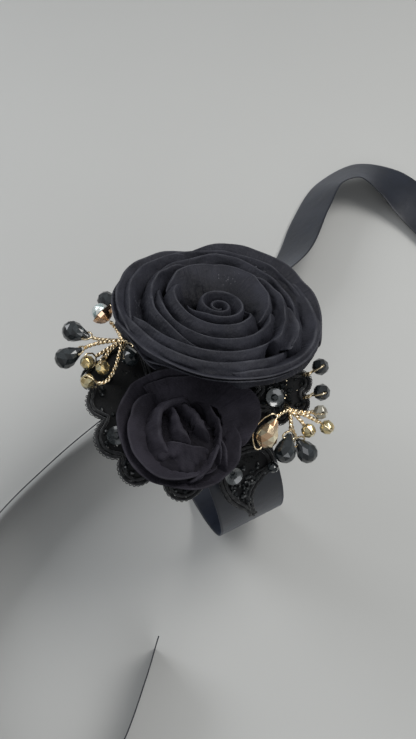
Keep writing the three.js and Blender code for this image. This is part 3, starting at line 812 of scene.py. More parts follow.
# The rose satin and the chiffon carry painted shade deep in their crevices and a painted highlight on their
# folded lips.
ROSE = Cloth("rose_satin", (0.0208, 0.0212, 0.0275), roughness=0.56, sheen=0.05,
             sheen_colour=(0.46, 0.48, 0.62), gloss=0.15, pitch=0.34, slub=0.26, crease=0.26, gather=0.42,
             painted_crevice_shade=0.85, glitter=GLITTER, edge=0.5, lip_highlight_colour=(0.085, 0.086, 0.098))
CHIFFON = Cloth("chiffon", (0.0215, 0.0198, 0.0255), roughness=0.8, sheen=0.08, sheen_colour=(0.5, 0.46, 0.6),
                gloss=0.08, pitch=0.42, slub=0.3, crease=0.2, gather=0.4, painted_crevice_shade=0.6, edge=0.35,
                lip_highlight_colour=(0.06, 0.058, 0.068))
FELT = Cloth("felt", (0.008, 0.008, 0.009), roughness=0.95, sheen=0.4, gloss=0.1, pitch=0.5, slub=0.3,
             crease=0.16)
CORD = Cord("lace", (0.007, 0.0075, 0.0085))
NET = Net("lace", (0.0028, 0.003, 0.0034))
# Each glass's second colour is a painted reflection on its facets.
JET = Glass("jet_glass", (0.005, 0.0065, 0.0075), roughness=0.07, coat=0.5, second=(0.03, 0.037, 0.04))
SEED = Glass("jet_glass", (0.004, 0.005, 0.0055), "seed_bead", roughness=0.28, gloss=0.45,
             second=(0.014, 0.017, 0.019))
SEQUIN = Glass("jet_glass", (0.035, 0.04, 0.042), "cup_sequin", roughness=0.16, gloss=0.9, coat=1.0,
               second=(0.08, 0.088, 0.09))
GOLD_GLASS = Glass("gold_glass", (0.62, 0.46, 0.2), metal=0.85, roughness=0.17, coat=0.6,
                   second=(1.0, 0.94, 0.64))
SMOKY = Glass("smoky_glass", (0.22, 0.2, 0.16), metal=0.3, roughness=0.08, coat=0.6, second=(0.62, 0.6, 0.5))
CHAMPAGNE = Glass("champagne_crystal", (0.45, 0.2, 0.07), metal=0.7, roughness=0.1, coat=1.0,
                  second=(1.0, 0.92, 0.66))
AURORA = Glass("aurora_crystal", (0.3, 0.42, 0.42), metal=0.25, roughness=0.05, coat=1.0,
               second=(0.9, 0.94, 0.9))
ROSE_GOLD = Plated("rose_gold", (0.92, 0.62, 0.42))
GOLD_WIRE = Plated("gold_wire", (0.97, 0.8, 0.54), roughness=0.24)


def put_on(piece: Piece, body: str, *nodes: str) -> None:
    """Makes a finished piece ride on a body and stand for frame nodes.

    Args:
        piece: The piece.
        body: The body that carries it.
        nodes: The nodes that it stands for.
    """
    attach(piece, body)
    if nodes:
        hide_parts(*nodes)
    LOG.info("%s on %s: %d faces", piece.name, body, len(piece.data.polygons))


@dataclass(frozen=True)
class Lamp:
    """One soft square lamp: its place and width in millimetres, its power in watts, its aim in metres."""

    name: str
    place: Triple
    power: float
    colour: Colour
    width: float = 260.0
    aim: Triple = (0.0, 0.0, -0.02)

    def build(self) -> None:
        """Adds the lamp."""
        data = bpy.data.lights.new(self.name, "AREA")
        data.energy = self.power
        data.size = self.width * MM
        data.color = self.colour
        lamp = bpy.data.objects.new(self.name, data)
        spot = Vector(self.place) * MM
        lamp.location = spot
        lamp.rotation_euler = (Vector(self.aim) - spot).to_track_quat("-Z", "Y").to_euler()
        bpy.context.scene.collection.objects.link(lamp)


@dataclass
class Studio:
    """The camera of the photograph, a pale floor and soft light, in millimetres and degrees.

    Attributes:
        rise: How far the camera is moved up its own frame.
        floor_reach: The floor's radius, in metres.
    """

    target: Vector = field(default_factory=lambda: Vector((2.651, 0.0, -33.0)))
    elevation: float = 58.0
    azimuth: float = 20.306
    roll: float = -7.403
    distance: float = 241.73
    rise: float = 14.082
    lens: float = 38.97
    lamps: Sequence[Lamp] = (
        Lamp("key", (260.0, -20.0, 360.0), 1.25, (1.0, 0.99, 0.97)),
        Lamp("front", (-40.0, -340.0, 220.0), 0.32, (0.95, 0.97, 1.0)),
        Lamp("back", (-200.0, 330.0, 260.0), 0.8, (0.95, 0.97, 1.0)))
    floor_reach: float = 3.0

    def build(self) -> None:
        """Builds the camera, the floor, the surround and the lamps."""
        self.add_camera()
        self.add_floor()
        self.add_world()
        for lamp in self.lamps:
            lamp.build()
        bpy.context.scene.view_settings.view_transform = "Standard"

    def add_camera(self) -> None:
        """Adds the camera at the photograph's viewing angle."""
        turn, rise, roll = (math.radians(angle) for angle in (self.azimuth, self.elevation, self.roll))
        back = Vector((-math.sin(turn) * math.cos(rise), -math.cos(turn) * math.cos(rise), math.sin(rise)))
        right = (-back).cross(Vector((0.0, 0.0, 1.0))).normalized()
        upward = right.cross(-back)
        across = right * math.cos(roll) + upward * math.sin(roll)
        head = upward * math.cos(roll) - right * math.sin(roll)
        place = self.target + back * self.distance + head * self.rise
        data = bpy.data.cameras.new("camera")
        data.lens = self.lens
        data.clip_start = 0.01
        data.clip_end = 20.0
        camera = bpy.data.objects.new("camera", data)
        rotation = Matrix((across, head, back)).transposed().to_4x4()
        camera.matrix_world = Matrix.Translation(place * MM) @ rotation
        bpy.context.scene.collection.objects.link(camera)
        bpy.context.scene.camera = camera

    def add_floor(self) -> None:
        """Adds the floor at the height of the table."""
        bpy.ops.mesh.primitive_circle_add(vertices=96, radius=self.floor_reach, fill_type="NGON",
                                          location=(0.0, 0.0, SIZES.floor * MM))
        floor = bpy.context.object
        floor.name = "floor"
        material = bpy.data.materials.new("floor")
        Plaster("floor", (0.5, 0.5, 0.485)).build(Tree(material))
        floor.data.materials.append(material)

    def add_world(self) -> None:
        """Adds a soft grey surround, brighter overhead."""
        world = bpy.data.worlds.new("studio")
        bpy.context.scene.world = world
        tree = Tree(world)
        level = tree.apart(tree.where("Generated"))[2] * 0.5 + 0.5
        sky = tree.node("ShaderNodeValToRGB", {"stops": (
            (0.0, (0.2, 0.2, 0.2)), (0.55, (0.42, 0.43, 0.44)), (1.0, (0.72, 0.75, 0.78)))}, {0: level})
        seen = tree.node("ShaderNodeLightPath").outputs["Is Camera Ray"]
        colour = tree.blend(seen, sky.outputs[0], (0.5, 0.5, 0.48))
        light = tree.node("ShaderNodeBackground", {}, {"Color": colour, "Strength": 0.5})
        tree.node("ShaderNodeOutputWorld", {}, {"Surface": light.outputs[0]})


class Side(Enum):
    """The two ends of the knot, along the forearm."""

    RIGHT = 1
    LEFT = -1


@dataclass
class Ribbon:
    """The satin ribbon: the band round the wrist, its knot and its two free ends.

    Attributes:
        pinch: How far from the knot the band has its full width, in degrees. It stops at band_end.
        right: The stations of the end behind the big rose: its middle and the direction across it, in
            widths of the ribbon from the wrist's axis and the table.
        right_length: The length of that end, in metres.
        first_lean: The direction across both ends where they leave the knot.
    """

    width: float = SIZES.ribbon_width
    thickness: float = SIZES.ribbon
    pinch: float = 30.0
    band_end: float = 3.475
    gather: float = 0.1
    pleats: float = 9.0
    band_pleat: float = 0.14
    tail_pleat: float = 0.12
    right: Sequence[Station] = (
        (1.15, 1.9, 0.56, -0.1, -0.5, 0.85), (2.3, 2.5, 0.5, 0.12, -0.56, 0.82),
        (3.3, 2.95, 0.45, 0.38, -0.6, 0.7), (4.15, 3.7, 0.43, 0.4, -0.62, 0.66),
        (4.88, 4.2, 0.45, 0.1, -0.75, 0.65), (5.52, 4.14, 0.52, -0.4, -0.8, 0.5),
        (5.96, 3.66, 0.4, -0.8, -0.55, 0.25), (6.17, 3.05, 0.22, -0.95, -0.3, 0.08),
        (6.27, 2.4, 0.15, -0.98, -0.16, 0.05), (6.32, 1.7, 0.13, -0.98, -0.1, 0.05))
    left: Sequence[Station] = (
        (-1.1, 1.42, 0.56, -0.06, -0.51, 0.86), (-2.25, 1.1, 0.5, 0.03, -0.49, 0.87),
        (-3.6, 0.5, 0.5, 0.13, -0.45, 0.88), (-4.75, -0.5, 0.5, 0.22, -0.38, 0.9),
        (-5.3, -1.9, 0.5, 0.27, -0.28, 0.92), (-4.9, -3.3, 0.5, 0.25, -0.18, 0.95),
        (-3.9, -3.9, 0.5, 0.17, -0.13, 0.98), (-3.0, -3.4, 0.5, 0.1, -0.17, 0.98),
        (-2.35, -2.78, 0.5, 0.05, -0.22, 0.97), (-1.96, -2.35, 0.5, 0.01, -0.26, 0.97))
    right_length: float = 0.175
    left_length: float = 0.233
    first_lean: Triple = (0.0, -0.5, 0.86)
    knot_cloth: float = 25.0

    def build(self) -> None:
        """Builds the four pieces of the ribbon."""
        self.add_tail("ribbon_end_right", "ribbon_tail_right", self.right, Side.RIGHT, self.right_length)
        self.add_tail("ribbon_end_left", "ribbon_tail_left", self.left, Side.LEFT, self.left_length)
        self.add_band()
        self.add_knot()

    def solid(self, piece: Piece) -> Piece:
        """Gives a ribbon its thickness and softens its edges.

        Args:
            piece: The flat ribbon.

        Returns:
            The same piece, dressed.
        """
        modify(piece, "SOLIDIFY", thickness=self.thickness * MM * 0.9, offset=0.0, use_even_offset=False)
        modify(piece, "BEVEL", width=0.1 * MM, segments=1, limit_method="ANGLE")
        shade(piece, 55.0)
        return SATIN.dress(piece)

    def drawn_in(self, across: float, spread: float, depth: float) -> Pair:
        """Gives how far aside a point of the ribbon lies, and how far its pleats lift it.

        Args:
            across: Where it is across the ribbon, from 0 to 1.
            spread: 0 where the knot draws the ribbon in, 1 where it lies flat.
            depth: The depth of the pleats, in millimetres.

        Returns:
            The two distances, in millimetres.
        """
        side = 2.0 * across - 1.0
        half = lerp(SIZES.gathered, self.width, spread) / 2.0
        return side * half, depth * (1.0 - spread) * math.cos(self.pleats * math.pi * side)

    def add_band(self) -> None:
        """Adds the band, drawn in towards the knot."""
        first = SIZES.knot_phi + self.band_end
        last = SIZES.knot_phi + 360.0 - self.band_end
        middle = SIZES.wrist + self.thickness / 2.0

        def place(across: float, along: float) -> Vector:
            """Gives a point on the band."""
            phi = lerp(first, last, along)
            near = min(phi - SIZES.knot_phi, SIZES.knot_phi + 360.0 - phi)
            aside, lift = self.drawn_in(across, smooth(near, self.band_end, self.pinch), self.band_pleat)
            return on_wrist(aside, phi, middle + lift)

        length = math.radians(last - first) * middle
        band = laid_grid("ribbon_round_wrist", 28, 180, place, (self.width, length))
        self.solid(band)
        put_on(band, ROOT, "ribbon_band")

    def add_tail(self, name: str, node: str, stations: Sequence[Station], side: Side, length: float) -> None:
        """Adds one free end of the ribbon.

        Args:
            name: The piece's name.
            node: The frame node it stands for.
            stations: Its stations, after the two at the knot.
            side: Which end of the knot it leaves.
            length: Its length, in metres.
        """
        from_knot = side.value * (SIZES.knot_length / 2.0 + 1.2 * SIZES.clearance)
        leave = on_wrist(from_knot, SIZES.knot_phi, SIZES.knot_axis)
        places = [leave, leave + Vector((side.value * SIZES.gathered / 2.0, 0.0, 0.0))]
        places += [Vector((x, y, height)) * self.width + Vector((0.0, 0.0, SIZES.floor))
                   for x, y, height, *_ in stations]
        leans = [Vector(self.first_lean)] * 2 + [Vector(station[3:]) for station in stations]
        step = 1e-3

        def place(across: float, along: float) -> Vector:
            """Gives a point on the ribbon's end."""
            share = min(max(along, 0.0), 1.0)
            ahead = catmull(places, min(share + step, 1.0), False)
            ahead -= catmull(places, max(share - step, 0.0), False)
            ahead.normalize()
            lean = catmull(leans, share, True)
            lean = (lean - ahead * lean.dot(ahead)).normalized()
            aside, lift = self.drawn_in(across, smooth(share, 0.0, self.gather), self.tail_pleat)
            return catmull(places, share, False) + lean * aside + ahead.cross(lean) * lift

        piece = laid_grid(name, 20, 150, place, (self.width, length / MM))
        self.solid(piece)
        put_on(piece, ROOT, node)

    def add_knot(self) -> None:
        """Adds the knot: a barrel of ribbon with pleats that run round it."""
        centre = on_wrist(0.0, SIZES.knot_phi, SIZES.knot_axis)
        out = outward(0.0, SIZES.knot_phi)
        forward = Vector((1.0, 0.0, 0.0))
        across = forward.cross(out)
        half = SIZES.knot_length / 2.0

        def place(along: float, around: float) -> Vector:
            """Gives a point on the knot."""
            share = 2.0 * along - 1.0
            angle = TURN * around
            shape = max(1.0 - abs(share) ** 3.2, 0.0) ** 0.5
            crease = 1.0 + 0.045 * math.cos(7.0 * math.pi * share + 2.0 * math.sin(angle))
            radius = 0.94 * SIZES.knot_radius * shape * crease
            return circled(centre + forward * (share * half), out, across, radius, angle)

        knot = laid_grid("ribbon_tie", 36, 40, place, (SIZES.knot_length, self.knot_cloth))
        weld(knot)
        shade(knot, 60.0)
        put_on(SATIN.dress(knot), ROOT, "ribbon_knot")


@dataclass
class RoseFrame:
    """A rose's own directions, from the middle of its rim.

    Attributes:
        foot_share: The height of its foot, as a share of the size.
        rim: The heights of its rim at even steps round it, as shares of the size.
    """

    centre: Vector
    facing: Vector
    size: float
    foot_share: float
    rim: Sequence[float]

    def __post_init__(self) -> None:
        """Works out the two directions across the rose."""
        self.facing = self.facing.normalized()
        forward = Vector((1.0, 0.0, 0.0))
        self.right = (forward - self.facing * forward.dot(self.facing)).normalized()
        self.back = self.facing.cross(self.right)
        self.foot_level = self.foot_share * self.size

    def dome(self, turns: float, reach: float) -> float:
        """Gives the height of the rose's dome, as a share of its size.

        Args:
            turns: How far round, clockwise from the forearm's direction.
            reach: The radius, as a share of the size.

        Returns:
            The height: domed in the middle, and following the rim's own rise and fall at the edge.
        """
        spot = (turns % 1.0) * len(self.rim)
        before = self.rim[int(spot) % len(self.rim)]
        after = self.rim[(int(spot) + 1) % len(self.rim)]
        edge = lerp(before, after, smooth(spot - int(spot), 0.0, 1.0))
        return 0.06 * (1.0 - reach * reach) + edge * reach ** 3

    def at(self, radius: float, angle: float, height: float) -> Vector:
        """Gives the point at a radius, an angle and a height over the rim."""
        return circled(self.centre, self.right, self.back, radius, angle) + self.facing * height

    def seat(self, radius: float, angle: float) -> float:
        """Gives the lowest height at a place that clears the lace or the wrist.

        Args:
            radius: Distance from the rose's middle.
            angle: Angle about it.

        Returns:
            The height over the rim, negative below it.
        """
        start = self.at(radius, angle, 0.0)
        level = start.z + SIZES.wrist
        square = self.facing.y * self.facing.y + self.facing.z * self.facing.z
        along = start.y * self.facing.y + level * self.facing.z
        height = 0.0
        for _ in range(3):
            beyond = abs(start.x + self.facing.x * height)
            bare = smooth(beyond, SIZES.lace_edge, SIZES.lace_edge + 3.0 * SIZES.pad)
            reach = lerp(SIZES.lace_rim + SIZES.clearance / 2.0, SIZES.wrist + 3.0 * SIZES.clearance, bare)
            inside = along * along - square * (start.y * start.y + level * level - reach * reach)
            height = -SIZES.wrist if inside < 0.0 else (math.sqrt(inside) - along) / square
        return height


@dataclass(frozen=True)
class Wave:
    """One wave of soft cloth round a rose.

    Attributes:
        size: Its height against the other waves.
        count: How many there are in a whole turn.
        slant: How many waves it drifts by across the cloth.
        wander: How far its crests wander, in radians.
        pace: How often they wander in a whole turn.
    """

    size: float
    count: float
    slant: float
    wander: float = 0.0
    pace: float = 0.0


SLACK = (Wave(1.0, 7.0, 1.3), Wave(0.6, 19.0, -1.7, 2.5, 3.0))
SAG = (Wave(1.0, 9.0, -1.6), Wave(0.7, 21.0, 1.9, 3.0, 4.0))
LIP_WAVES = (Wave(1.0, 2.6, 1.0), Wave(0.7, 6.3, 1.0), Wave(0.35, 12.9, -1.0), Wave(0.2, 21.3, 1.0))


def waved(waves: Sequence[Wave], turns: float, across: float) -> float:
    """Adds up waves at a number of turns round a rose and a place across the cloth."""
    return sum(wave.size * math.sin(TURN * (wave.count * turns + wave.slant * across)
                                    + wave.wander * math.sin(TURN * wave.pace * turns)) for wave in waves)


@dataclass
class Wall:
    """The shared shape of a folded wall: a narrow fold at the lip and a face that swells out below it.

    Attributes:
        bulge: How far the outer face stands out at the foot, as a share of the rose's size.
        swell: How soon it stands out below the lip. Less is sooner.
        flare: How late the inner face leans out. 1 is straight.
        steep: How much the outer face drops straight from the lip. At 0 it follows the inner face.
        fold: Half the thickness of the folded lip, in millimetres.
        pleat: The depth of the gathers at the foot, in millimetres, as crease higher up.
    """

    label: str = ""
    bulge: float = 0.12
    swell: float = 0.6
    flare: float = 1.15
    steep: float = 0.55
    fold: float = 0.42
    crease: float = 0.42
    pleat: float = 0.25
    rungs: int = 8

    def skin(self, size: float, foot: Pair, lip: Pair, body: float, turns: float) -> list[Pair]:
        """Gives the closed section of the wall.

        Args:
            size: The rose's size.
            foot: Radius and height of the inner face's foot.
            lip: Radius and height of the lip.
            body: 1 for the full thickness, less towards the wall's ends.
            turns: How far round the rose it is, for the creases.

        Returns:
            Radius and height pairs from the inner foot over the lip to the outer foot.
        """
        inner, outer = [], []
        fold = self.fold * body
        for rung in range(self.rungs + 1):
            rise = rung / self.rungs
            low = 1.0 - rise
            height = lerp(foot[1], lip[1] - 0.35 * fold, rise)
            gather = self.pleat * low * math.sin(TURN * (24.0 * turns + 0.7 * math.sin(TURN * 5.0 * turns)))
            loose = self.crease * math.sin(math.pi * rise)
            near = lerp(foot[0], lip[0], rise ** self.flare)
            near += body * (gather - loose * waved(SLACK, turns, rise))
            inner.append((max(near - fold, 0.05), height))
            thick = body * (2.0 * self.fold + self.bulge * size * low ** self.swell)
            face = lerp(near, lip[0], self.steep * body)
            outer.append((face - fold + thick + 0.5 * body * loose * waved(SAG, turns, rise), height))
        crown = [(lip[0] - 0.62 * fold, lip[1] - 0.02), (lip[0], lip[1] + 0.28 * fold),
                 (lip[0] + 0.66 * fold, lip[1] + 0.05)]
        outer.reverse()
        return [*inner, *crown, *outer, inner[0]]

    def raise_wall(self, name: str, frame: RoseFrame, sections: Sequence[list[Pair]],
                   angles: Sequence[float], cloth: Pair) -> Piece:
        """Makes the closed wall from its sections.

        Args:
            name: The new object's name.
            frame: The rose's frame.
            sections: The closed section at each step.
            angles: The angle of each step.
            cloth: The wall's length and the cloth's width, in millimetres.

        Returns:
            The new object.
        """
        steps = len(sections) - 1
        loop = len(sections[0]) - 1
        crest = self.rungs + 2

        def place(along: float, around: float) -> Vector:
            """Gives a point on the wall's skin."""
            step = round(along * steps)
            radius, height = sections[step][round(around * loop)]
            return frame.at(radius, angles[step], height)

        piece = laid_grid(name, steps, loop, place, cloth, crest / loop)
        weld(piece, 0.004)
        modify(piece, "SUBSURF", levels=1, render_levels=1)
        shade(piece, 180.0)
        return piece


@dataclass
class Petal(Wall):
    """One petal: fabric folded double along its lip. Lengths are shares of the rose's size.

    Attributes:
        line: Stations along the lip: turns clockwise from the forearm's direction, the lip's radius, how
            far the lip stands outside the foot and, where given, the lip's height.
        rise: How far its lip stands over the rose's dome, where no height is given.
        wall: The depth from lip to foot.
        sinks: How far the lip sinks at the start and at the end.
        tucks: Short folds that are sewn to it.
    """

    line: Sequence[tuple[float, ...]] = ()
    rise: float = 0.0
    wall: float = 0.3
    sinks: Pair = (0.1, 0.08)
    ripple: float = 0.009
    tucks: Sequence[Petal] = ()

    def section(self, frame: RoseFrame, share: float) -> tuple[list[Pair], float]:
        """Gives one section of the petal.

        Args:
            frame: The rose's frame.
            share: How far along the lip, from 0 to 1.

        Returns:
            The closed section, and the angle it stands at.
        """
        size = frame.size
        turns, reach, lean, *high = catmull([Vector(station) for station in self.line], share, True)
        angle = -TURN * turns
        wave = self.ripple * waved(LIP_WAVES, turns, self.line[0][0] * 7.0 + self.line[-1][1])
        lip = size * (reach + wave)
        first, last = self.sinks
        sink = first * smooth(share, 0.26, 0.0) ** 1.4 + last * smooth(share, 0.78, 1.0) ** 1.6
        level = high[0] if high else frame.dome(turns, reach) + self.rise
        top = size * (level - sink + 0.8 * wave)
        lowest = max(top - size * self.wall, frame.foot_level)
        room = top - max(lowest, frame.seat(lip - size * lean, angle) + SIZES.clearance)
        lean = size * lean * min(max(room / max(top - lowest, 0.1), 0.25), 1.0)
        foot = max(lowest, frame.seat(lip - lean, angle) + SIZES.clearance,
                   frame.seat(lip + 0.5 * self.bulge * size, angle) + SIZES.clearance)
        top = max(top, foot + 2.0, frame.seat(lip, angle) + 1.4)
        taper = len(self.line) * 0.02
        body = min(math.sqrt(max(min(share / taper, (1.0 - share) / (0.6 * taper)), 0.0)), 1.0)
        return self.skin(size, (lip - lean, foot), (lip, top), body, turns), angle

    def build(self, frame: RoseFrame, name: str) -> Piece:
        """Builds the petal as one closed, doubled wall.

        Args:
            frame: The rose's frame.
            name: The new object's name.

        Returns:
            The new object.
        """
        span = self.line[-1][0] - self.line[0][0]
        steps = max(int(120 * span), 24)
        sections, angles = zip(*(self.section(frame, index / steps) for index in range(steps + 1)))
        length = TURN * span * self.line[len(self.line) // 2][1] * frame.size
        return self.raise_wall(name, frame, sections, angles, (length, 2.0 * self.wall * frame.size))


@dataclass
class OpenPetal(Petal):
    """A petal at the rose's rim: one thin wall that leans out."""

    bulge: float = 0.03
    steep: float = 0.0


@dataclass
class SoftPetal(Petal):
    """A petal of soft cloth: a thin wall with loose creases."""

    bulge: float = 0.05
    flare: float = 1.2
    steep: float = 0.1
    fold: float = 0.36
    crease: float = 0.38
    wall: float = 0.24
    sinks: Pair = (0.1, 0.1)
    ripple: float = 0.013


@dataclass
class Coil(Wall):
    """The coiled middle of a rose: one folded strip wound outwards. Lengths are shares of its size.

    Attributes:
        start: Where the strip starts, in turns clockwise from the forearm's direction.
        height: The lip's height at the start, which is higher by dip at the end.
        taper: The foot's radius, as a share of the lip's.
    """

    start: float = 0.1
    turns: float = 2.45
    inner: float = 0.035
    outer: float = 0.3
    height: float = -0.03
    dip: float = 0.085
    depth: float = 0.27
    taper: float = 0.55

    def build(self, frame: RoseFrame, name: str) -> Piece:
        """Builds the coil as one closed, doubled wall.

        Args:
            frame: The rose's frame.
            name: The new object's name.

        Returns:
            The new object.
        """
        steps = int(48 * self.turns)
        size = frame.size
        sections, angles = [], []
        for index in range(steps + 1):
            share = index / steps
            turns = self.start + share * self.turns
            angle = -TURN * turns
            lip = size * lerp(self.inner, self.outer, share ** 1.5)
            top = size * (self.height + self.dip * share)
            top -= size * 0.08 * smooth(share, 0.93, 1.0)
            foot = max(top - size * self.depth, frame.foot_level,
                       frame.seat(lip, angle) + 2.0 * SIZES.clearance)
            body = min(math.sqrt(max(min(share, 1.0 - share) / 0.03, 0.0)), 1.0)
            grown = size * min(2.5 * share + 0.1, 1.0)
            sections.append(self.skin(grown, (lip * self.taper, foot), (lip, top), body, turns))
            angles.append(angle)
        length = TURN * self.turns * size * (self.inner + self.outer) / 2.0
        return self.raise_wall(name, frame, sections, angles, (length, 2.0 * self.depth * size))


@dataclass
class Rose:
    """One fabric rose. Lengths are shares of its size, but for the size and the height.

    Attributes:
        centre: The middle of its rim, along the forearm and across it.
        lining: The gathered cloth that the folds are sewn on: its radius, and the heights of its middle and
            its edge against the dome.
        petals: Its petals. Each line runs clockwise, and they are listed from the inside out.
        gather: The middle of its gathered underside, which reaches to gather_reach.
        rim: The heights of its rim, at even steps round it.
    """

    name: str
    finish: Finish
    size: float
    centre: Pair
    height: float
    facing: Triple
    foot: float
    core: str
    middle: Sequence[Petal | Coil]
    lining: Triple
    petals: Sequence[Petal]
    gather: Pair
    gather_reach: float
    rim: Sequence[float] = (0.0,)

    def build(self) -> None:
        """Builds the rose's middle, petals and foot."""
        along, across = self.centre
        frame = RoseFrame(Vector((along * self.size, across * self.size, self.height)), Vector(self.facing),
                          self.size, self.foot, self.rim)
        middle = [part.build(frame, part.label) for part in self.middle]
        middle.append(self.add_lining(frame))
        put_on(self.finish.dress(merged(self.core, middle)), ROOT, f"{self.name}_rose_bud")
        for petal in self.petals:
            name = f"{self.name}_{petal.label.replace('petal', 'fold')}"
            folds = [fold.build(frame, name) for fold in (petal, *petal.tucks)]
            put_on(self.finish.dress(merged(name, folds)), ROOT, f"{self.name}_rose_{petal.label}")
        self.add_foot(frame)

    def add_lining(self, frame: RoseFrame) -> Piece:
        """Makes the gathered round of cloth that the folds are sewn on.

        Args:
            frame: The rose's frame.

        Returns:
            The new object.
        """
        reach, deep, edge = self.lining

        def place(out: float, around: float) -> Vector:
            """Gives a point on the round of cloth."""
            radius, angle = lerp(0.04, reach, out), TURN * around
            level = self.size * (lerp(deep, edge, out * out) + frame.dome(-around, radius))
            level += 0.25 * out * math.sin(24.0 * angle)
            low = frame.seat(radius * self.size, angle) + SIZES.clearance
            return frame.at(radius * self.size, angle, max(level, low, frame.foot_level))

        cloth = (reach * self.size, TURN * reach * self.size)
        piece = laid_grid(f"{self.name}_lining", 12, 144, place, cloth)
        weld(piece)
        modify(piece, "SOLIDIFY", thickness=0.2 * MM, offset=0.0)
        shade(piece, 180.0)
        return piece

    def add_foot(self, frame: RoseFrame) -> None:
        """Adds the gathered underside, on the side where the rose stands clear of the wrist.

        Args:
            frame: The rose's frame.
        """
        sides = 54
        step = 0.3
        least = 0.95
        mid_u, mid_v = self.gather[0] * self.size, self.gather[1] * self.size
        roof = frame.foot_level - SIZES.clearance

        def floor_at(radius: float, angle: float) -> Triple:
            """Gives the polar place and the floor's height there."""
            u, v = mid_u + radius * math.cos(angle), mid_v + radius * math.sin(angle)
            flat, turn = math.hypot(u, v), math.atan2(v, u)
            return flat, turn, frame.seat(flat, turn) + SIZES.clearance

        reaches = []
        for index in range(sides):
            angle = TURN * index / sides
            far = 0.0
            while far <= self.size:
                flat, _, low = floor_at(far + step, angle)
                if roof - low <= least or flat >= self.gather_reach * self.size:
                    break
                far += step
            reaches.append(far * (0.97 + 0.03 * math.cos(18.0 * angle)))

        def place(out: float, around: float) -> Vector:
            """Gives a point on the underside: its floor, its wall, then its roof."""
            index = round(around * sides) % sides
            over = out > 0.5
            share = 2.0 * (1.0 - out) if over else 2.0 * out
            flat, turn, low = floor_at(share * reaches[index], TURN * index / sides)
            return frame.at(flat, turn, roof if over else low)

        piece = laid_grid(f"{self.name}_underside", 9, sides, place)
        weld(piece)
        shade(piece, 40.0)
        put_on(FELT.dress(piece), ROOT, f"{self.name}_rose_foot")


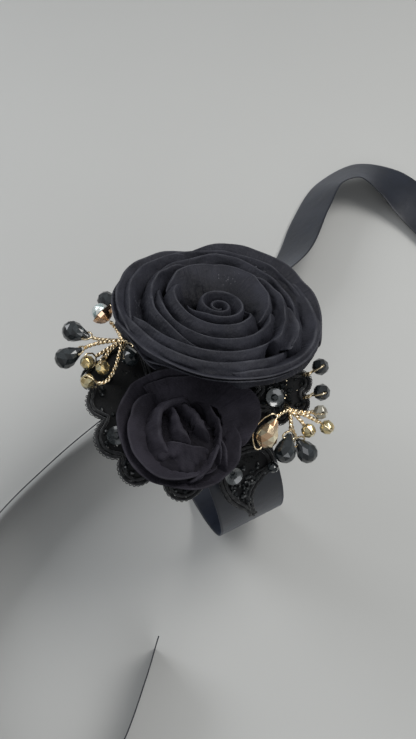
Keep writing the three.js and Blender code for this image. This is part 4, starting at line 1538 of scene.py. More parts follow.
BIG_PETALS = (
    Petal("heart_petal_1", rise=0.03, sinks=(0.1, 0.1), line=(
        (0.6, 0.5, 0.16), (0.7, 0.565, 0.3), (0.81, 0.61, 0.4), (0.92, 0.575, 0.34), (1.03, 0.485, 0.2),
        (1.13, 0.43, 0.1))),
    Petal("heart_petal_2", rise=-0.02, bulge=0.15, line=(
        (0.02, 0.3, 0.05), (0.14, 0.335, 0.06), (0.33, 0.37, 0.07), (0.45, 0.385, 0.07),
        (0.54, 0.404, 0.08), (0.64, 0.45, 0.12), (0.7, 0.49, 0.16))),
    Petal("heart_petal_3", rise=-0.01, line=(
        (0.0, 0.52, 0.1), (0.08, 0.51, 0.12), (0.2, 0.53, 0.12), (0.33, 0.558, 0.12), (0.45, 0.565, 0.14),
        (0.54, 0.56, 0.14), (0.62, 0.58, 0.14))),
    Petal("inner_petal_1", sinks=(0.02, 0.08), wall=0.2, line=(
        (0.19, 0.66, 0.1), (0.25, 0.69, 0.1), (0.33, 0.715, 0.11), (0.4, 0.75, 0.12), (0.46, 0.79, 0.12),
        (0.52, 0.83, 0.12))),
    Petal("inner_petal_2", line=(
        (0.36, 0.62, 0.09), (0.45, 0.64, 0.1), (0.54, 0.655, 0.1), (0.62, 0.67, 0.1), (0.7, 0.7, 0.1),
        (0.76, 0.72, 0.1))),
    Petal("inner_petal_3", sinks=(0.1, -0.02), rise=0.01, line=(
        (0.88, 0.63, 0.1), (0.95, 0.64, 0.16), (1.03, 0.655, 0.2), (1.12, 0.67, 0.2), (1.195, 0.695, 0.14))),
    Petal("inner_petal_4", sinks=(0.1, -0.02), line=(
        (0.6, 0.73, 0.12), (0.7, 0.765, 0.14), (0.81, 0.782, 0.15), (0.9, 0.765, 0.14),
        (0.97, 0.755, 0.12), (1.05, 0.775, 0.1), (1.12, 0.8, 0.1), (1.165, 0.82, 0.08)), tucks=(
        Petal(wall=0.08, rise=0.005, sinks=(0.03, 0.0), bulge=0.02, steep=0.0, fold=0.36, line=(
            (1.03, 0.68, 0.07), (1.055, 0.75, 0.12), (1.085, 0.79, 0.15), (1.12, 0.8, 0.15),
            (1.15, 0.81, 0.14), (1.175, 0.83, 0.1))),)),
    Petal("middle_petal_1", wall=0.14, line=(
        (0.14, 0.77, 0.1), (0.25, 0.8, 0.11), (0.33, 0.83, 0.11), (0.4, 0.86, 0.11), (0.46, 0.885, 0.11),
        (0.55, 0.915, 0.1))),
    Petal("middle_petal_2", rise=0.01, line=(
        (0.49, 0.875, 0.16), (0.55, 0.87, 0.2), (0.62, 0.865, 0.2), (0.7, 0.87, 0.18), (0.78, 0.875, 0.14))),
    Petal("middle_petal_3", rise=-0.01, line=(
        (0.66, 0.9, 0.1), (0.74, 0.9, 0.12), (0.81, 0.9, 0.12), (0.9, 0.9, 0.12), (0.98, 0.9, 0.1),
        (1.04, 0.92, 0.1))),
    Petal("middle_petal_4", sinks=(0.08, 0.05), wall=0.15, line=(
        (0.93, 0.94, 0.14), (1.0, 0.955, 0.16), (1.08, 0.96, 0.18), (1.16, 0.94, 0.18), (1.24, 0.9, 0.16),
        (1.3, 0.87, 0.14))),
    OpenPetal("outer_petal_1", wall=0.15, line=(
        (0.0, 1.01, 0.26), (0.06, 1.01, 0.28), (0.13, 0.995, 0.3), (0.22, 0.97, 0.32), (0.33, 0.96, 0.32),
        (0.42, 0.98, 0.32), (0.48, 1.0, 0.3), (0.54, 0.99, 0.28))),
    OpenPetal("outer_petal_2", wall=0.2, line=(
        (0.44, 0.945, 0.24), (0.5, 0.955, 0.26), (0.56, 0.97, 0.28), (0.64, 0.985, 0.28),
        (0.72, 0.975, 0.26), (0.8, 0.96, 0.24))),
    OpenPetal("outer_petal_3", wall=0.24, line=(
        (0.7, 0.925, 0.16), (0.78, 0.94, 0.2), (0.86, 0.98, 0.24), (0.93, 1.03, 0.28), (1.0, 1.05, 0.3),
        (1.06, 1.06, 0.28), (1.1, 1.05, 0.24))),
    OpenPetal("skirt_petal_1", wall=0.11, rise=-0.05, line=(
        (0.1, 0.99, 0.3), (0.2, 0.96, 0.32), (0.33, 0.945, 0.34), (0.44, 0.97, 0.3))),
    OpenPetal("skirt_petal_2", wall=0.11, rise=-0.06, line=(
        (0.41, 0.97, 0.3), (0.5, 0.985, 0.32), (0.6, 0.985, 0.3), (0.7, 0.96, 0.26))))
BIG_ROSE = Rose(
    "big", ROSE, 27.2, centre=(0.42, 0.17), height=12.3, facing=(0.366, 0.193, 0.91), foot=-0.33,
    core="big_coil", middle=(Coil("big_coil", bulge=0.06, crease=0.06, pleat=0.1),),
    lining=(0.76, -0.31, -0.21), petals=BIG_PETALS, gather=(-0.26, 0.16), gather_reach=0.44,
    rim=(0.03, -0.07, -0.12, -0.13, -0.14, -0.1, -0.04, 0.0, 0.01, 0.03, 0.13, 0.12))
SMALL_MIDDLE = (
    SoftPetal("folded_middle", fold=1.0, wall=0.4, bulge=0.06, line=(
        (0.77, 0.5, 0.0, 0.02), (0.8, 0.4, 0.0, 0.06), (0.84, 0.27, 0.0, 0.08), (0.93, 0.17, 0.0, 0.09),
        (1.05, 0.16, 0.0, 0.08), (1.1, 0.24, 0.0, 0.06), (1.12, 0.34, 0.0, 0.0))),
    SoftPetal("folded_left", fold=0.9, wall=0.4, bulge=0.08, line=(
        (0.71, 0.5, 0.0, -0.02), (0.72, 0.36, 0.0, 0.04), (0.68, 0.22, 0.0, 0.07),
        (0.55, 0.14, 0.0, 0.06), (0.38, 0.13, 0.0, 0.04), (0.25, 0.18, 0.0, 0.0))))
SMALL_PETALS = (
    SoftPetal("inner_petal_1", fold=0.8, wall=0.4, line=(
        (0.4, 0.4, -0.16, -0.1), (0.48, 0.42, -0.17, -0.04), (0.56, 0.43, -0.17, 0.0),
        (0.64, 0.45, -0.16, 0.03), (0.72, 0.47, -0.14, 0.04), (0.8, 0.45, -0.1, 0.03),
        (0.86, 0.38, -0.04, 0.0))),
    SoftPetal("inner_petal_2", wall=0.4, line=(
        (0.72, 0.62, 0.1, -0.02), (0.8, 0.6, 0.1, 0.03), (0.89, 0.54, 0.06, 0.04),
        (0.97, 0.46, 0.03, 0.04), (1.04, 0.45, 0.03, 0.03), (1.1, 0.48, 0.05, 0.0),
        (1.15, 0.56, 0.1, -0.05), (1.185, 0.66, 0.16, -0.12))),
    SoftPetal("inner_petal_3", wall=0.3, crease=0.6, pleat=0.5, line=(
        (0.14, 0.4, -0.14, -0.1), (0.21, 0.34, -0.22, -0.06), (0.29, 0.27, -0.3, -0.05),
        (0.36, 0.25, -0.32, -0.05), (0.43, 0.29, -0.28, -0.06), (0.5, 0.36, -0.2, -0.08))),
    SoftPetal("outer_petal_1", line=(
        (-0.04, 0.7, 0.2, -0.05), (0.03, 0.78, 0.26, -0.08), (0.09, 0.8, 0.3, -0.12),
        (0.15, 0.83, 0.33, -0.2), (0.2, 0.81, 0.34, -0.25), (0.25, 0.81, 0.35, -0.27),
        (0.31, 0.82, 0.36, -0.28), (0.38, 0.82, 0.34, -0.29), (0.45, 0.84, 0.3, -0.27)), tucks=(
        SoftPetal(sinks=(0.03, 0.08), line=(
            (0.09, 0.46, 0.04, -0.06), (0.14, 0.5, 0.08, -0.06), (0.19, 0.55, 0.12, -0.08),
            (0.235, 0.64, 0.16, -0.1), (0.27, 0.7, 0.18, -0.12), (0.31, 0.74, 0.16, -0.16))),
        SoftPetal(sinks=(0.03, 0.08), line=(
            (0.08, 0.48, 0.04, -0.05), (0.12, 0.56, 0.1, -0.07), (0.15, 0.65, 0.14, -0.1),
            (0.17, 0.72, 0.16, -0.14), (0.185, 0.78, 0.16, -0.19))))),
    SoftPetal("outer_petal_2", line=(
        (0.18, 0.6, 0.16, -0.18), (0.22, 0.66, 0.22, -0.16), (0.27, 0.69, 0.26, -0.15),
        (0.33, 0.76, 0.3, -0.14), (0.39, 0.86, 0.34, -0.12), (0.45, 0.88, 0.34, -0.08),
        (0.52, 0.84, 0.32, -0.05), (0.59, 0.83, 0.32, -0.03), (0.65, 0.84, 0.3, -0.03),
        (0.71, 0.8, 0.22, -0.04), (0.75, 0.72, 0.12, -0.06))),
    SoftPetal("outer_petal_3", line=(
        (0.37, 0.78, 0.22, -0.28), (0.42, 0.92, 0.3, -0.2), (0.47, 0.97, 0.32, -0.15),
        (0.53, 0.95, 0.32, -0.13), (0.59, 0.98, 0.34, -0.12), (0.65, 1.03, 0.36, -0.1),
        (0.7, 1.08, 0.38, -0.08), (0.76, 1.06, 0.34, -0.04), (0.82, 0.98, 0.26, -0.04))),
    SoftPetal("outer_petal_4", wall=0.22, line=(
        (0.7, 0.96, 0.44, 0.02), (0.76, 0.93, 0.46, 0.05), (0.83, 0.9, 0.46, 0.06),
        (0.9, 1.0, 0.52, 0.05), (0.95, 1.12, 0.6, 0.02), (0.985, 1.2, 0.64, -0.01),
        (1.015, 1.14, 0.6, -0.05), (1.05, 0.98, 0.46, -0.1), (1.08, 0.86, 0.32, -0.14))))
SMALL_ROSE = Rose(
    "small", CHIFFON, 17.4, centre=(-0.59, -1.21), height=6.7, facing=(0.33, 0.015, 0.944), foot=-0.5,
    core="small_folded_middle", middle=SMALL_MIDDLE, lining=(0.72, -0.2, -0.38), petals=SMALL_PETALS,
    gather=(-0.25, 0.0), gather_reach=0.45)


HALF_TURNED = 0.5
CUP_SHAPE = (
    (0.0, 0.5), (0.05, 1.5), (0.3, 2.2), (0.45, 2.4), (0.55, 2.4), (0.42, 2.1), (0.18, 1.45), (0.15, 0.5),
    (0.0, 0.5))
CUP_BEAD_SHAPE = ((0.0, 0.0), (0.0, 0.6), (0.4, 0.95), (0.8, 0.6), (0.8, 0.0))
DROP_SHAPE = (
    (-0.16, 0.0), (-0.155, 0.2), (0.02, 0.46), (0.2, 0.74), (0.36, 0.92), (0.52, 1.0), (0.66, 0.9),
    (0.78, 0.6), (0.84, 0.22), (0.845, 0.0))
ROUND_SHAPE = (
    (-0.94, 0.0), (-0.94, 0.36), (-0.52, 0.84), (0.0, 1.0), (0.52, 0.84), (0.94, 0.36), (0.94, 0.0))
SEWN_SHAPE = ((-0.94, 0.0), (-0.94, 0.4), (-0.5, 0.85), (0.0, 1.0), (0.5, 0.85), (0.94, 0.4), (0.94, 0.0))
PEAR_SHAPE = (
    (-0.5, 0.0), (-0.5, 0.24), (-0.28, 0.56), (-0.02, 0.9), (0.18, 1.0), (0.36, 0.84), (0.5, 0.34),
    (0.5, 0.0))
BALL_SHAPE = (
    (-1.0, 0.0), (-0.9, 0.42), (-0.5, 0.85), (0.0, 1.0), (0.4, 0.9), (0.74, 0.62), (0.9, 0.3), (0.9, 0.0))
DROP_LOOP = ((-1.0, 0.0), (-0.7, 0.72), (-0.25, 1.03), (0.0, 0.93), (0.0, -0.93), (-0.25, -1.03),
             (-0.7, -0.72))
ROUND_LOOP = ((-1.08, 0.0), (-0.86, 0.66), (-0.3, 1.04), (0.0, 0.9), (0.0, -0.9), (-0.3, -1.04),
              (-0.86, -0.66))
PEAR_LOOP = ((-1.0, 0.0), (1.0, 0.0), (1.12, 0.14), (1.14, 0.34), (1.02, 0.54), (0.75, 0.84), (0.4, 1.08),
             (-0.1, 1.1), (-0.7, 0.84), (-1.02, 0.54), (-1.14, 0.32), (-1.12, 0.12))


def sized(shape: Profile, length: float, width: float) -> list[Pair]:
    """Gives a shape its length and its width, in millimetres."""
    return [(along * length, across * width) for along, across in shape]


@dataclass
class Motif:
    """One piece of lace that follows the wrist: a net with double corded edges and sewn beads.

    Attributes:
        x: Its middle along the forearm, as phi in degrees round the wrist.
        step: How many points the edge has.
        bare: Round places without beads, under a hanging drop: along, around and radius.
        edges: How far each of the edge's cords lies inside it, and over the lace's inner face.
        edge_cord: The radius of the edge's cords, as vein_cord and picot_cord for the others.
        vein_rise: How far the veins lie over the lace's inner face, as bead_rise for the beads.
        picot: How far the picots stand out, and half their width.
    """

    name: str
    node: str
    x: float
    phi: float
    outline: Outline
    veins: Sequence[Sequence[Pair]] = ()
    beads: int = 50
    seed: int = 1
    step: int = 120
    bare: Sequence[Triple] = ()
    edges: Sequence[Pair] = ((0.35, 0.75), (1.4, 0.8))
    edge_cord: float = 0.42
    vein_cord: float = 0.28
    vein_rise: float = 0.72
    picot_cord: float = 0.12
    picot: Pair = (0.55, 0.42)
    bead_rise: float = 0.75

    def spot(self, along: float, around: float, rise: float) -> Vector:
        """Places a point of the motif on the wrist, at a rise over the lace's inner face."""
        phi = self.phi + math.degrees(around / SIZES.lace_inner)
        return on_wrist(self.x + along, phi, SIZES.lace_inner + rise)

    def build(self) -> None:
        """Builds the net with its cords, and the small beads sewn on it."""
        net = self.add_net()
        cords = self.add_cords()
        beads = self.add_beads()
        put_on(net, ROOT, self.node)
        put_on(cords, ROOT)
        put_on(beads, ROOT)

    def add_net(self) -> Piece:
        """Adds the net that fills the outline.

        Returns:
            The net.
        """
        def place(out: float, around: float) -> Vector:
            """Gives a point on the net."""
            along, across = self.outline(TURN * around)
            share = 0.03 + 0.95 * out
            rise = 0.25 + 0.18 * math.sin(5.0 * out + 3.0 * TURN * around)
            return self.spot(share * along, share * across, rise)

        net = laid_grid(f"{self.name}_net", 12, self.step, place)
        weld(net)
        modify(net, "SOLIDIFY", thickness=0.16 * MM, offset=0.0)
        shade(net, 60.0)
        return NET.dress(net)

    def add_cords(self) -> Piece:
        """Adds the double cord round the edge, the picots outside it and the veins.

        Returns:
            The cords as one piece.
        """
        parts = [drawn_cord(f"{self.name}_edge", self.rings(), self.edge_cord, closed=True),
                 drawn_cord(f"{self.name}_picots", self.picots(), self.picot_cord, 0)]
        if self.veins:
            lines = [[self.spot(*point, self.vein_rise) for point in vein] for vein in self.veins]
            parts.append(drawn_cord(f"{self.name}_veins", lines, self.vein_cord))
        return CORD.dress(merged(f"{self.name}_cord", parts))

    def rings(self) -> list[list[Vector]]:
        """Lays the cords that follow the edge.

        Returns:
            The points of each cord, in millimetres.
        """
        corners = [Vector(self.outline(TURN * index / self.step)) for index in range(self.step)]
        area = sum(corners[index - 1].cross(corner) for index, corner in enumerate(corners))
        rings = []
        for inset, rise in self.edges:
            ring = []
            for index, corner in enumerate(corners):
                ahead = corners[(index + 2) % self.step] - corners[index - 2]
                spot = corner + Vector((-ahead.y, ahead.x)).normalized() * math.copysign(inset, area)
                ring.append(self.spot(spot.x, spot.y, rise + 0.1 * math.sin(index)))
            rings.append(ring)
        return rings

    def picots(self) -> list[list[Vector]]:
        """Lays the small loops of thread outside the edge.

        Returns:
            The points of each loop, in millimetres.
        """
        stand, half = self.picot
        picots = []
        count = self.step // 2
        for index in range(count):
            turn = TURN * index / count
            reach = math.hypot(*self.outline(turn))
            loop = []
            for point in range(7):
                swing = math.pi * point / 6.0
                out = (reach - 0.1 + stand * math.sin(swing)) / reach
                along, around = self.outline(turn + half * math.cos(swing) / reach)
                loop.append(self.spot(along * out, around * out, 0.35 + 0.2 * math.sin(swing + index)))
            picots.append(loop)
        return picots

    def add_beads(self) -> Piece:
        """Adds small cut beads at scattered places inside the cords.

        Returns:
            The beads as one piece.
        """
        draw = random.Random(self.seed)
        bpy.ops.mesh.primitive_ico_sphere_add(subdivisions=1, radius=0.5 * MM)
        model = bpy.context.object
        places = []
        while len(places) < self.beads:
            along, across = self.outline(TURN * draw.random())
            reach = math.hypot(along, across)
            share = math.sqrt(draw.random()) * max(reach - 2.0, 0.5) / reach
            if any(math.hypot(share * along - x, share * across - y) < far for x, y, far in self.bare):
                continue
            spot = self.spot(share * along, share * across, self.bead_rise)
            size = draw.uniform(0.75, 1.25)
            spin = Matrix.Rotation(draw.uniform(0.0, TURN), 4, Vector((draw.random(), draw.random(), 1.0)))
            long = Matrix.Diagonal((size * draw.choice((1.0, 1.0, 2.2)), size, size, 1.0))
            places.append(Matrix.Translation(spot * MM) @ spin @ long)
        beads = copies(f"{self.name}_seed_beads", model, places)
        return SEED.dress(beads)


def lobed(lobes: Sequence[Triple], size: float, core: float) -> Outline:
    """Makes the outline of a motif of round lobes.

    Args:
        lobes: The along, around and radius of each lobe, as shares of the size.
        size: The motif's size, in millimetres.
        core: The radius where there is no lobe, as a share.

    Returns:
        A function that gives the edge at an angle.
    """
    def edge(turn: float) -> Pair:
        """Gives a point of the edge.

        Args:
            turn: The angle, in radians.

        Returns:
            The point, along and around, in millimetres.
        """
        reach = core * size
        for along, around, radius in lobes:
            forward = along * math.cos(turn) + around * math.sin(turn)
            aside = around * math.cos(turn) - along * math.sin(turn)
            if forward > 0.0 and abs(aside) < radius:
                reach = max(reach, size * (forward + math.sqrt(radius * radius - aside * aside)))
        return reach * math.cos(turn), reach * math.sin(turn)

    return edge


LEAF_SIZE = 14.0
LEAF_CORNERS = (
    (0.73, 0.0), (0.76, -0.14), (0.76, -0.33), (0.64, -0.54), (0.37, -0.64), (0.09, -0.66),
    (-0.11, -0.58), (-0.26, -0.44), (-0.34, -0.26), (-0.36, -0.06), (-0.34, 0.11), (-0.31, 0.26),
    (-0.22, 0.46), (-0.09, 0.67), (0.02, 0.91), (0.09, 1.0), (0.13, 0.8), (0.13, 0.64), (0.15, 0.46),
    (0.21, 0.32), (0.3, 0.22), (0.42, 0.14), (0.57, 0.06), (0.73, 0.0))


def leaf_edge(turn: float) -> Pair:
    """Gives the edge of the leaf motif at an angle, through its corners."""
    spot = catmull([Vector((*corner, 0.0)) for corner in LEAF_CORNERS], (turn / TURN) % 1.0, True)
    return LEAF_SIZE * spot.x, LEAF_SIZE * spot.y


@dataclass
class Lace:
    """The felt pad, the three lace motifs and their sequins. Places are in millimetres and degrees.

    Attributes:
        spread_lobes: The along, around and radius of its lobes, as shares of its size.
    """

    spread_size: float = 15.0
    spread_lobes: Sequence[Triple] = (
        (-0.72, -0.78, 0.34), (-0.83, -0.12, 0.36), (-0.72, 0.46, 0.32), (-0.1, 1.04, 0.36),
        (-0.6, -1.3, 0.36), (-0.14, -1.42, 0.42))
    spread_x: float = -14.0
    rosette_size: float = 8.0
    rosette_x: float = 17.2
    leaf_veins: Sequence[Sequence[Pair]] = (
        ((1.5, -7.0), (-1.5, -2.5), (-3.0, 2.0), (-1.6, 6.0), (0.2, 10.0), (1.2, 12.6)),
        ((8.8, -1.2), (5.4, -1.0), (2.4, 1.0), (0.6, 4.0), (0.2, 7.0)))
    pad_length: float = 17.0
    pad_reach: float = 28.0
    pad_phi: float = 10.0

    def build(self) -> None:
        """Builds the pad, the motifs and the sequins."""
        self.add_pad()
        Motif("spread", "lace_spread", self.spread_x, 22.0, lobed(self.spread_lobes, self.spread_size, 0.5),
              beads=150, seed=3, step=220, bare=((-0.2, -19.5, 6.0),)).build()
        petals = [(0.68 * math.cos(TURN * k / 6), 0.68 * math.sin(TURN * k / 6), 0.38) for k in range(6)]
        Motif("rosette", "lace_rosette", self.rosette_x, 31.0, lobed(petals, self.rosette_size, 0.5),
              beads=56, seed=5, step=150).build()
        Motif("leaf", "lace_leaf", -2.2, 60.0, leaf_edge, self.leaf_veins, beads=84, seed=8, step=140).build()
        self.add_sequin("left", self.spread_x - 0.83 * self.spread_size, 19.0)
        self.add_sequin("rosette", self.rosette_x - self.rosette_size / 3.0, 32.0)
        self.add_sequin("leaf", -3.37, 54.0)

    def add_pad(self) -> None:
        """Adds the felt pad under the lace."""
        def place(out: float, around: float) -> Vector:
            """Gives a point on the pad: under it, its edge, then over it."""
            angle = TURN * around
            share = min(1.0, 2.0 * min(out, 1.0 - out) * 1.12)
            along = self.pad_length * math.cos(angle) * share
            across = self.pad_reach * math.sin(angle) * share
            rise = 0.0 if out < 0.5 else SIZES.pad
            phi = self.pad_phi + math.degrees(across / SIZES.lace_inner)
            return on_wrist(along, phi, SIZES.pad_inner + rise)

        pad = laid_grid("felt_backing", 15, 72, place)
        weld(pad)
        modify(pad, "BEVEL", width=0.25 * MM, segments=2, limit_method="ANGLE")
        shade(pad)
        put_on(FELT.dress(pad), ROOT, "felt_pad")

    def add_sequin(self, name: str, x: float, phi: float) -> None:
        """Adds a cup sequin with the small bead that holds it.

        Args:
            name: Which sequin it is.
            x: Its place along the forearm.
            phi: Its place round the wrist, in degrees.
        """
        base = on_wrist(x, phi, SIZES.lace_rim + SIZES.clearance)
        out = outward(x, phi)
        side = Vector((1.0, 0.0, 0.0))
        cup = spun(base, out, side, CUP_SHAPE, 16, f"cup_{name}")
        shade(cup, 25.0)
        bead = spun(base + out * 0.1, out, side, CUP_BEAD_SHAPE, 7, f"stop_{name}", HALF_TURNED)
        piece = merged(f"cup_sequin_{name}", [SEQUIN.dress(cup), JET.dress(bead)])
        put_on(piece, ROOT, f"sequin_{name}")


def bead_place(place: Triple) -> Vector:
    """Gives a place in millimetres from shares of the wrist's radius and degrees.

    Args:
        place: Along the forearm, round the wrist in degrees, and out from the lace's rim.

    Returns:
        The place.
    """
    along, phi, rise = place
    return on_wrist(along * SIZES.wrist, phi, SIZES.lace_rim + rise * SIZES.wrist)


class Way(Enum):
    """The directions of a bead's frame."""

    ALONG = "along"
    SIDE = "side"
    UP = "up"


@dataclass
class BeadFrame:
    """Where a bead sits and which way it points.

    Attributes:
        at: The bead's middle, as bead_place takes it.
        to: A place that it points to.
    """

    at: Triple
    to: Triple

    def __post_init__(self) -> None:
        """Works out the bead's middle and directions."""
        self.origin = bead_place(self.at)
        self.along = (bead_place(self.to) - self.origin).normalized()
        out = Vector((0.0, self.origin.y, self.origin.z + SIZES.wrist)).normalized()
        self.side = self.along.cross(out).normalized()
        self.up = self.side.cross(self.along)

    def direction(self, way: Way) -> Vector:
        """Gives one of the bead's directions."""
        return getattr(self, way.value)

    def loop(self, shape: Profile, length: float, width: float, aside: Vector) -> list[Vector]:
        """Gives a loop of wire round the bead.

        Args:
            shape: Its points along the bead and aside.
            length: What 1 stands for along the bead, in millimetres.
            width: What 1 stands for aside, in millimetres.
            aside: The direction aside.

        Returns:
            The points of the loop.
        """
        return [self.origin + self.along * along + aside * across
                for along, across in sized(shape, length, width)]


@dataclass(frozen=True)
class Cut:
    """How one kind of bead is cut, bored and held by a loop of wire, in millimetres and shares.

    Attributes:
        shape: Its profile along the axis, for a length times the stretch and half the width.
        back: How far the loop goes behind, as a share of the length, and then a share of the wire more.
        out: How far it goes aside, as a share of the width.
        stem_end: Where the stem ends against the loop.
    """

    length: float
    width: float
    shape: Profile
    loop: Profile
    sides: int = 9
    axis: Way = Way.ALONG
    hole: Way = Way.SIDE
    aside: Way = Way.SIDE
    stretch: float = 1.0
    back: Pair = (0.5, 0.5)
    out: float = 0.5
    stem_end: float = 1.0


def round_cut(size: float) -> Cut:
    """Returns the cut of a round bead of a size in millimetres."""
    return Cut(size, size, ROUND_SHAPE, ROUND_LOOP, 8, Way.UP, Way.UP, Way.UP, 0.5, stem_end=1.08)


class Kind(Enum):
    """The kinds of bead on the sprays."""

    DROP = Cut(8.0, 5.8, DROP_SHAPE, DROP_LOOP, back=(0.16, 1.0), out=0.2)
    GOLD = round_cut(4.0)
    BLACK = round_cut(4.6)
    PEAR = Cut(7.8, 6.0, PEAR_SHAPE, PEAR_LOOP, hole=Way.ALONG)


@dataclass
class Bead:
    """One bead of a spray.

    Attributes:
        node: Its node, which is also its body.
        at: Its middle, as bead_place takes it, and it points to the place to.
    """

    node: str
    kind: Kind
    at: Triple
    to: Triple
    finish: Glass = JET
    scale: float = 1.0

    def build(self) -> tuple[BeadFrame, list[Vector], float]:
        """Builds the bead.

        Returns:
            Its frame, the loop of wire that holds it, and how far behind it the stem ends.
        """
        cut = self.kind.value
        frame = BeadFrame(self.at, self.to)
        length, width = self.scale * cut.length, self.scale * cut.width
        self.add_glass(frame, length, width)
        share, wires = cut.back
        back = length * share + SIZES.clearance + SIZES.wire * wires
        out = width * cut.out + SIZES.clearance + SIZES.wire / 2.0
        return frame, frame.loop(cut.loop, back, out, frame.direction(cut.aside)), cut.stem_end * back

    def add_glass(self, frame: BeadFrame, length: float, width: float) -> None:
        """Adds the cut glass with its hole, on its own body.

        Args:
            frame: The bead's frame.
            length: Its length, in millimetres.
            width: Its width, in millimetres.
        """
        cut = self.kind.value
        axis, hole = frame.direction(cut.axis), frame.direction(cut.hole)
        profile = sized(cut.shape, length * cut.stretch, width / 2.0)
        piece = spun(frame.origin, axis, frame.side, profile, cut.sides, f"{self.node}_cut", HALF_TURNED)
        reach, side = (length, frame.side) if cut.hole is Way.ALONG else (width, frame.along)
        bore = ((0.0, 0.0), (0.0, SIZES.drill), (2.0 * reach, SIZES.drill), (2.0 * reach, 0.0))
        drill = spun(frame.origin - hole * reach, hole, side, bore, 10, "drill")
        modify(piece, "BOOLEAN", operation="DIFFERENCE", object=drill, solver="EXACT")
        bpy.data.objects.remove(drill)
        put_on(self.finish.dress(piece), self.node, self.node)


@dataclass
class Spray:
    """Beads on twisted gold wires that meet at one place.

    Attributes:
        root: Where its wires come from, as bead_place takes it. They part at the hub.
        crystal: The pale stone's middle and a place that it points to, where there is one.
        cup: How far the stone's cup stands off it, inside and outside, in millimetres.
        cup_arc: Where the cup's wall has its corners, in degrees from the stone's front.
    """

    name: str
    node: str
    root: Triple
    hub: Triple
    beads: Sequence[Bead]
    crystal: tuple[Triple, Triple] | None = None
    crystal_radius: float = 2.5
    cup: Pair = (0.3, 0.75)
    cup_arc: Sequence[float] = (96.0, 115.0, 135.0, 155.0)

    def build(self) -> None:
        """Builds the beads, the loops that hold them and the twisted wires."""
        root, hub = bead_place(self.root), bead_place(self.hub)
        under = on_wrist(root.x, self.root[1], SIZES.under_lace)
        riser = on_wrist(lerp(root.x, hub.x, 0.9), lerp(self.root[1], self.hub[1], 0.9), SIZES.under_lace)
        loops = []
        strands = rope([under, riser, hub], SIZES.trunk)
        for bead in self.beads:
            frame, loop, back = bead.build()
            loops.append(rounded(loop))
            start = hub
            if bead.kind is Kind.BLACK:
                start = on_wrist(bead.at[0] * SIZES.wrist - back - 1.2, bead.at[1], SIZES.under_lace)
                strands += rope([under, start], SIZES.stem)
            strands += self.stem(start, frame, back)
        if self.crystal:
            frame = BeadFrame(*self.crystal)
            strands += self.stem(hub, frame, self.add_crystal(frame))
        parts = [drawn_cord(f"{self.name}_loops", loops, SIZES.wire / 2.0, closed=True),
                 drawn_cord(f"{self.name}_ropes", strands, SIZES.strand)]
        wires = merged(f"{self.name}_twisted_wires", parts)
        put_on(GOLD_WIRE.dress(wires), ROOT, self.node)

    def stem(self, start: Vector, frame: BeadFrame, back: float) -> list[list[Vector]]:
        """Bends the twisted wire from a place to a bead.

        Args:
            start: The place.
            frame: The bead's frame.
            back: How far behind the bead the wire ends, in millimetres.

        Returns:
            The points of its two strands.
        """
        end = frame.origin - frame.along * back
        bend = end - frame.along * ((end - start).length / 3.0)
        points = []
        for index in range(9):
            share = index / 8.0
            points.append(start * (1 - share) ** 2 + bend * (2 * share * (1 - share)) + end * share ** 2)
        return rope(points, SIZES.stem)

    def add_crystal(self, frame: BeadFrame) -> float:
        """Adds the pale stone and its stamped cup.

        Args:
            frame: The stone's frame.

        Returns:
            How far behind the stone the stem ends, in millimetres.
        """
        radius = self.crystal_radius
        stone = sized(BALL_SHAPE, radius, radius)
        ball = spun(frame.origin, frame.along, frame.side, stone, 10, "pale_stone", HALF_TURNED)
        put_on(AURORA.dress(ball), ROOT, "crystal_ball")
        inner, outer = (radius + gap for gap in self.cup)
        arc = [(math.cos(math.radians(angle)), math.sin(math.radians(angle))) for angle in self.cup_arc]
        wall = [(-outer, 0.0), *sized(arc[::-1], outer, outer), *sized(arc, inner, inner), (-inner, 0.0)]
        cup = spun(frame.origin, frame.along, frame.side, wall, 12, "stone_cup")
        put_on(ROSE_GOLD.dress(cup), ROOT, "crystal_cup")
        return outer + SIZES.clearance


def rounded(points: Sequence[Vector]) -> list[Vector]:
    """Rounds the corners of a closed loop.

    Args:
        points: The loop's corners.

    Returns:
        Four points for each corner.
    """
    out = []
    for index, point in enumerate(points):
        before, after = points[index - 1], points[(index + 1) % len(points)]
        out += [point.lerp(before, 0.25), point.lerp(before, 0.08), point.lerp(after, 0.08),
                point.lerp(after, 0.25)]
    return out


def rope(points: Sequence[Vector], radius: float, pitch: float = 2.4) -> list[list[Vector]]:
    """Gives two strands twisted round a line.

    Args:
        points: The line, in millimetres.
        radius: How far each strand's middle is from the line.
        pitch: The length of one turn, in millimetres.

    Returns:
        The two strands' points.
    """
    lengths = [0.0]
    for before, after in zip(points, points[1:]):
        lengths.append(lengths[-1] + (after - before).length)
    total = lengths[-1]
    count = max(int(total / pitch * 10), 12)
    upright = Vector((0.0, 0.0, 1.0))
    strands: list[list[Vector]] = [[], []]
    for index in range(count + 1):
        distance = total * index / count
        piece = max(i for i, length in enumerate(lengths) if length <= distance + 1e-9)
        piece = min(piece, len(points) - 2)
        ahead = (points[piece + 1] - points[piece]).normalized()
        middle = points[piece] + ahead * (distance - lengths[piece])
        side = ahead.cross(upright).normalized()
        rise = side.cross(ahead)
        for which, strand in enumerate(strands):
            strand.append(circled(middle, side, rise, radius, TURN * distance / pitch + math.pi * which))
    return strands


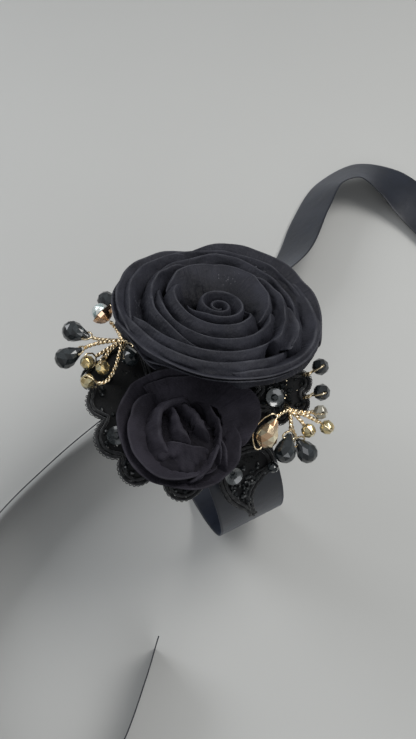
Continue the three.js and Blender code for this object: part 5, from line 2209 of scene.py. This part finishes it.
LEFT_SPRAY = Spray("left", "left_spray_wire", (-0.24, -10.0, -0.012), (-0.43, -16.5, 0.1), (
    Bead("left_drop_1", Kind.DROP, (-0.67, -28.0, 0.13), (-0.75, -32.0, 0.175)),
    Bead("left_drop_2", Kind.DROP, (-0.78, -21.4, 0.1), (-0.89, -22.5, 0.075)),
    Bead("left_drop_3", Kind.DROP, (-0.42, -12.2, 0.075), (-0.44, -7.0, 0.06), scale=0.8),
    Bead("left_drop_4", Kind.DROP, (-0.33, -36.0, 0.22), (-0.38, -41.5, 0.25), scale=0.9),
    Bead("left_gold_bead_1", Kind.GOLD, (-0.755, -13.8, 0.085), (-0.9, -12.0, 0.085), GOLD_GLASS),
    Bead("left_gold_bead_2", Kind.GOLD, (-0.67, -7.3, 0.1), (-0.75, -2.0, 0.09), GOLD_GLASS),
    Bead("left_gold_bead_3", Kind.GOLD, (-0.82, -5.0, 0.085), (-0.9, -9.0, 0.085), GOLD_GLASS)),
    crystal=((-0.473, -31.0, 0.235), (-0.5, -32.5, 0.3)))
RIGHT_SPRAY = Spray("right", "right_spray_wire", (0.61, 27.0, 0.034), (0.49, 38.0, 0.085), (
    Bead("pear_crystal", Kind.PEAR, (0.262, 42.4, 0.105), (0.14, 47.2, 0.098), CHAMPAGNE),
    Bead("right_drop_1", Kind.DROP, (0.479, 52.3, 0.072), (0.52, 59.0, 0.062)),
    Bead("right_drop_2", Kind.DROP, (0.392, 47.4, 0.115), (0.31, 53.6, 0.105)),
    Bead("right_gold_bead_1", Kind.GOLD, (0.573, 48.7, 0.09), (0.6, 53.0, 0.09), GOLD_GLASS),
    Bead("right_gold_bead_2", Kind.GOLD, (0.727, 51.0, 0.085), (0.79, 55.5, 0.085), GOLD_GLASS),
    Bead("smoky_bead", Kind.GOLD, (0.715, 44.2, 0.09), (0.8, 46.0, 0.09), SMOKY),
    Bead("black_bead_1", Kind.BLACK, (0.87, 28.7, 0.06), (1.0, 28.0, 0.05)),
    Bead("black_bead_2", Kind.BLACK, (0.795, 37.8, 0.06), (0.95, 39.0, 0.05))))


def add_sewn_bead() -> None:
    """Adds the cut bead sewn at the leaf's root."""
    phi, radius = 57.0, 1.6
    frame = BeadFrame((0.21, phi, 0.0), (0.26, 58.5, 0.0))
    middle = on_wrist(frame.origin.x, phi, SIZES.lace_rim + SIZES.clearance + radius)
    profile = sized(SEWN_SHAPE, radius, radius)
    bead = spun(middle, frame.up, frame.side, profile, 9, "sewn_cut_bead", HALF_TURNED)
    put_on(JET.dress(bead), ROOT, "sewn_bead")


def main() -> None:
    """Builds the corsage, part by part."""
    logging.basicConfig(level=logging.INFO, format="%(name)s: %(message)s")
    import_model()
    Studio().build()
    Ribbon().build()
    Lace().build()
    BIG_ROSE.build()
    SMALL_ROSE.build()
    LEFT_SPRAY.build()
    RIGHT_SPRAY.build()
    add_sewn_bead()


if __name__ == "__main__":
    main()
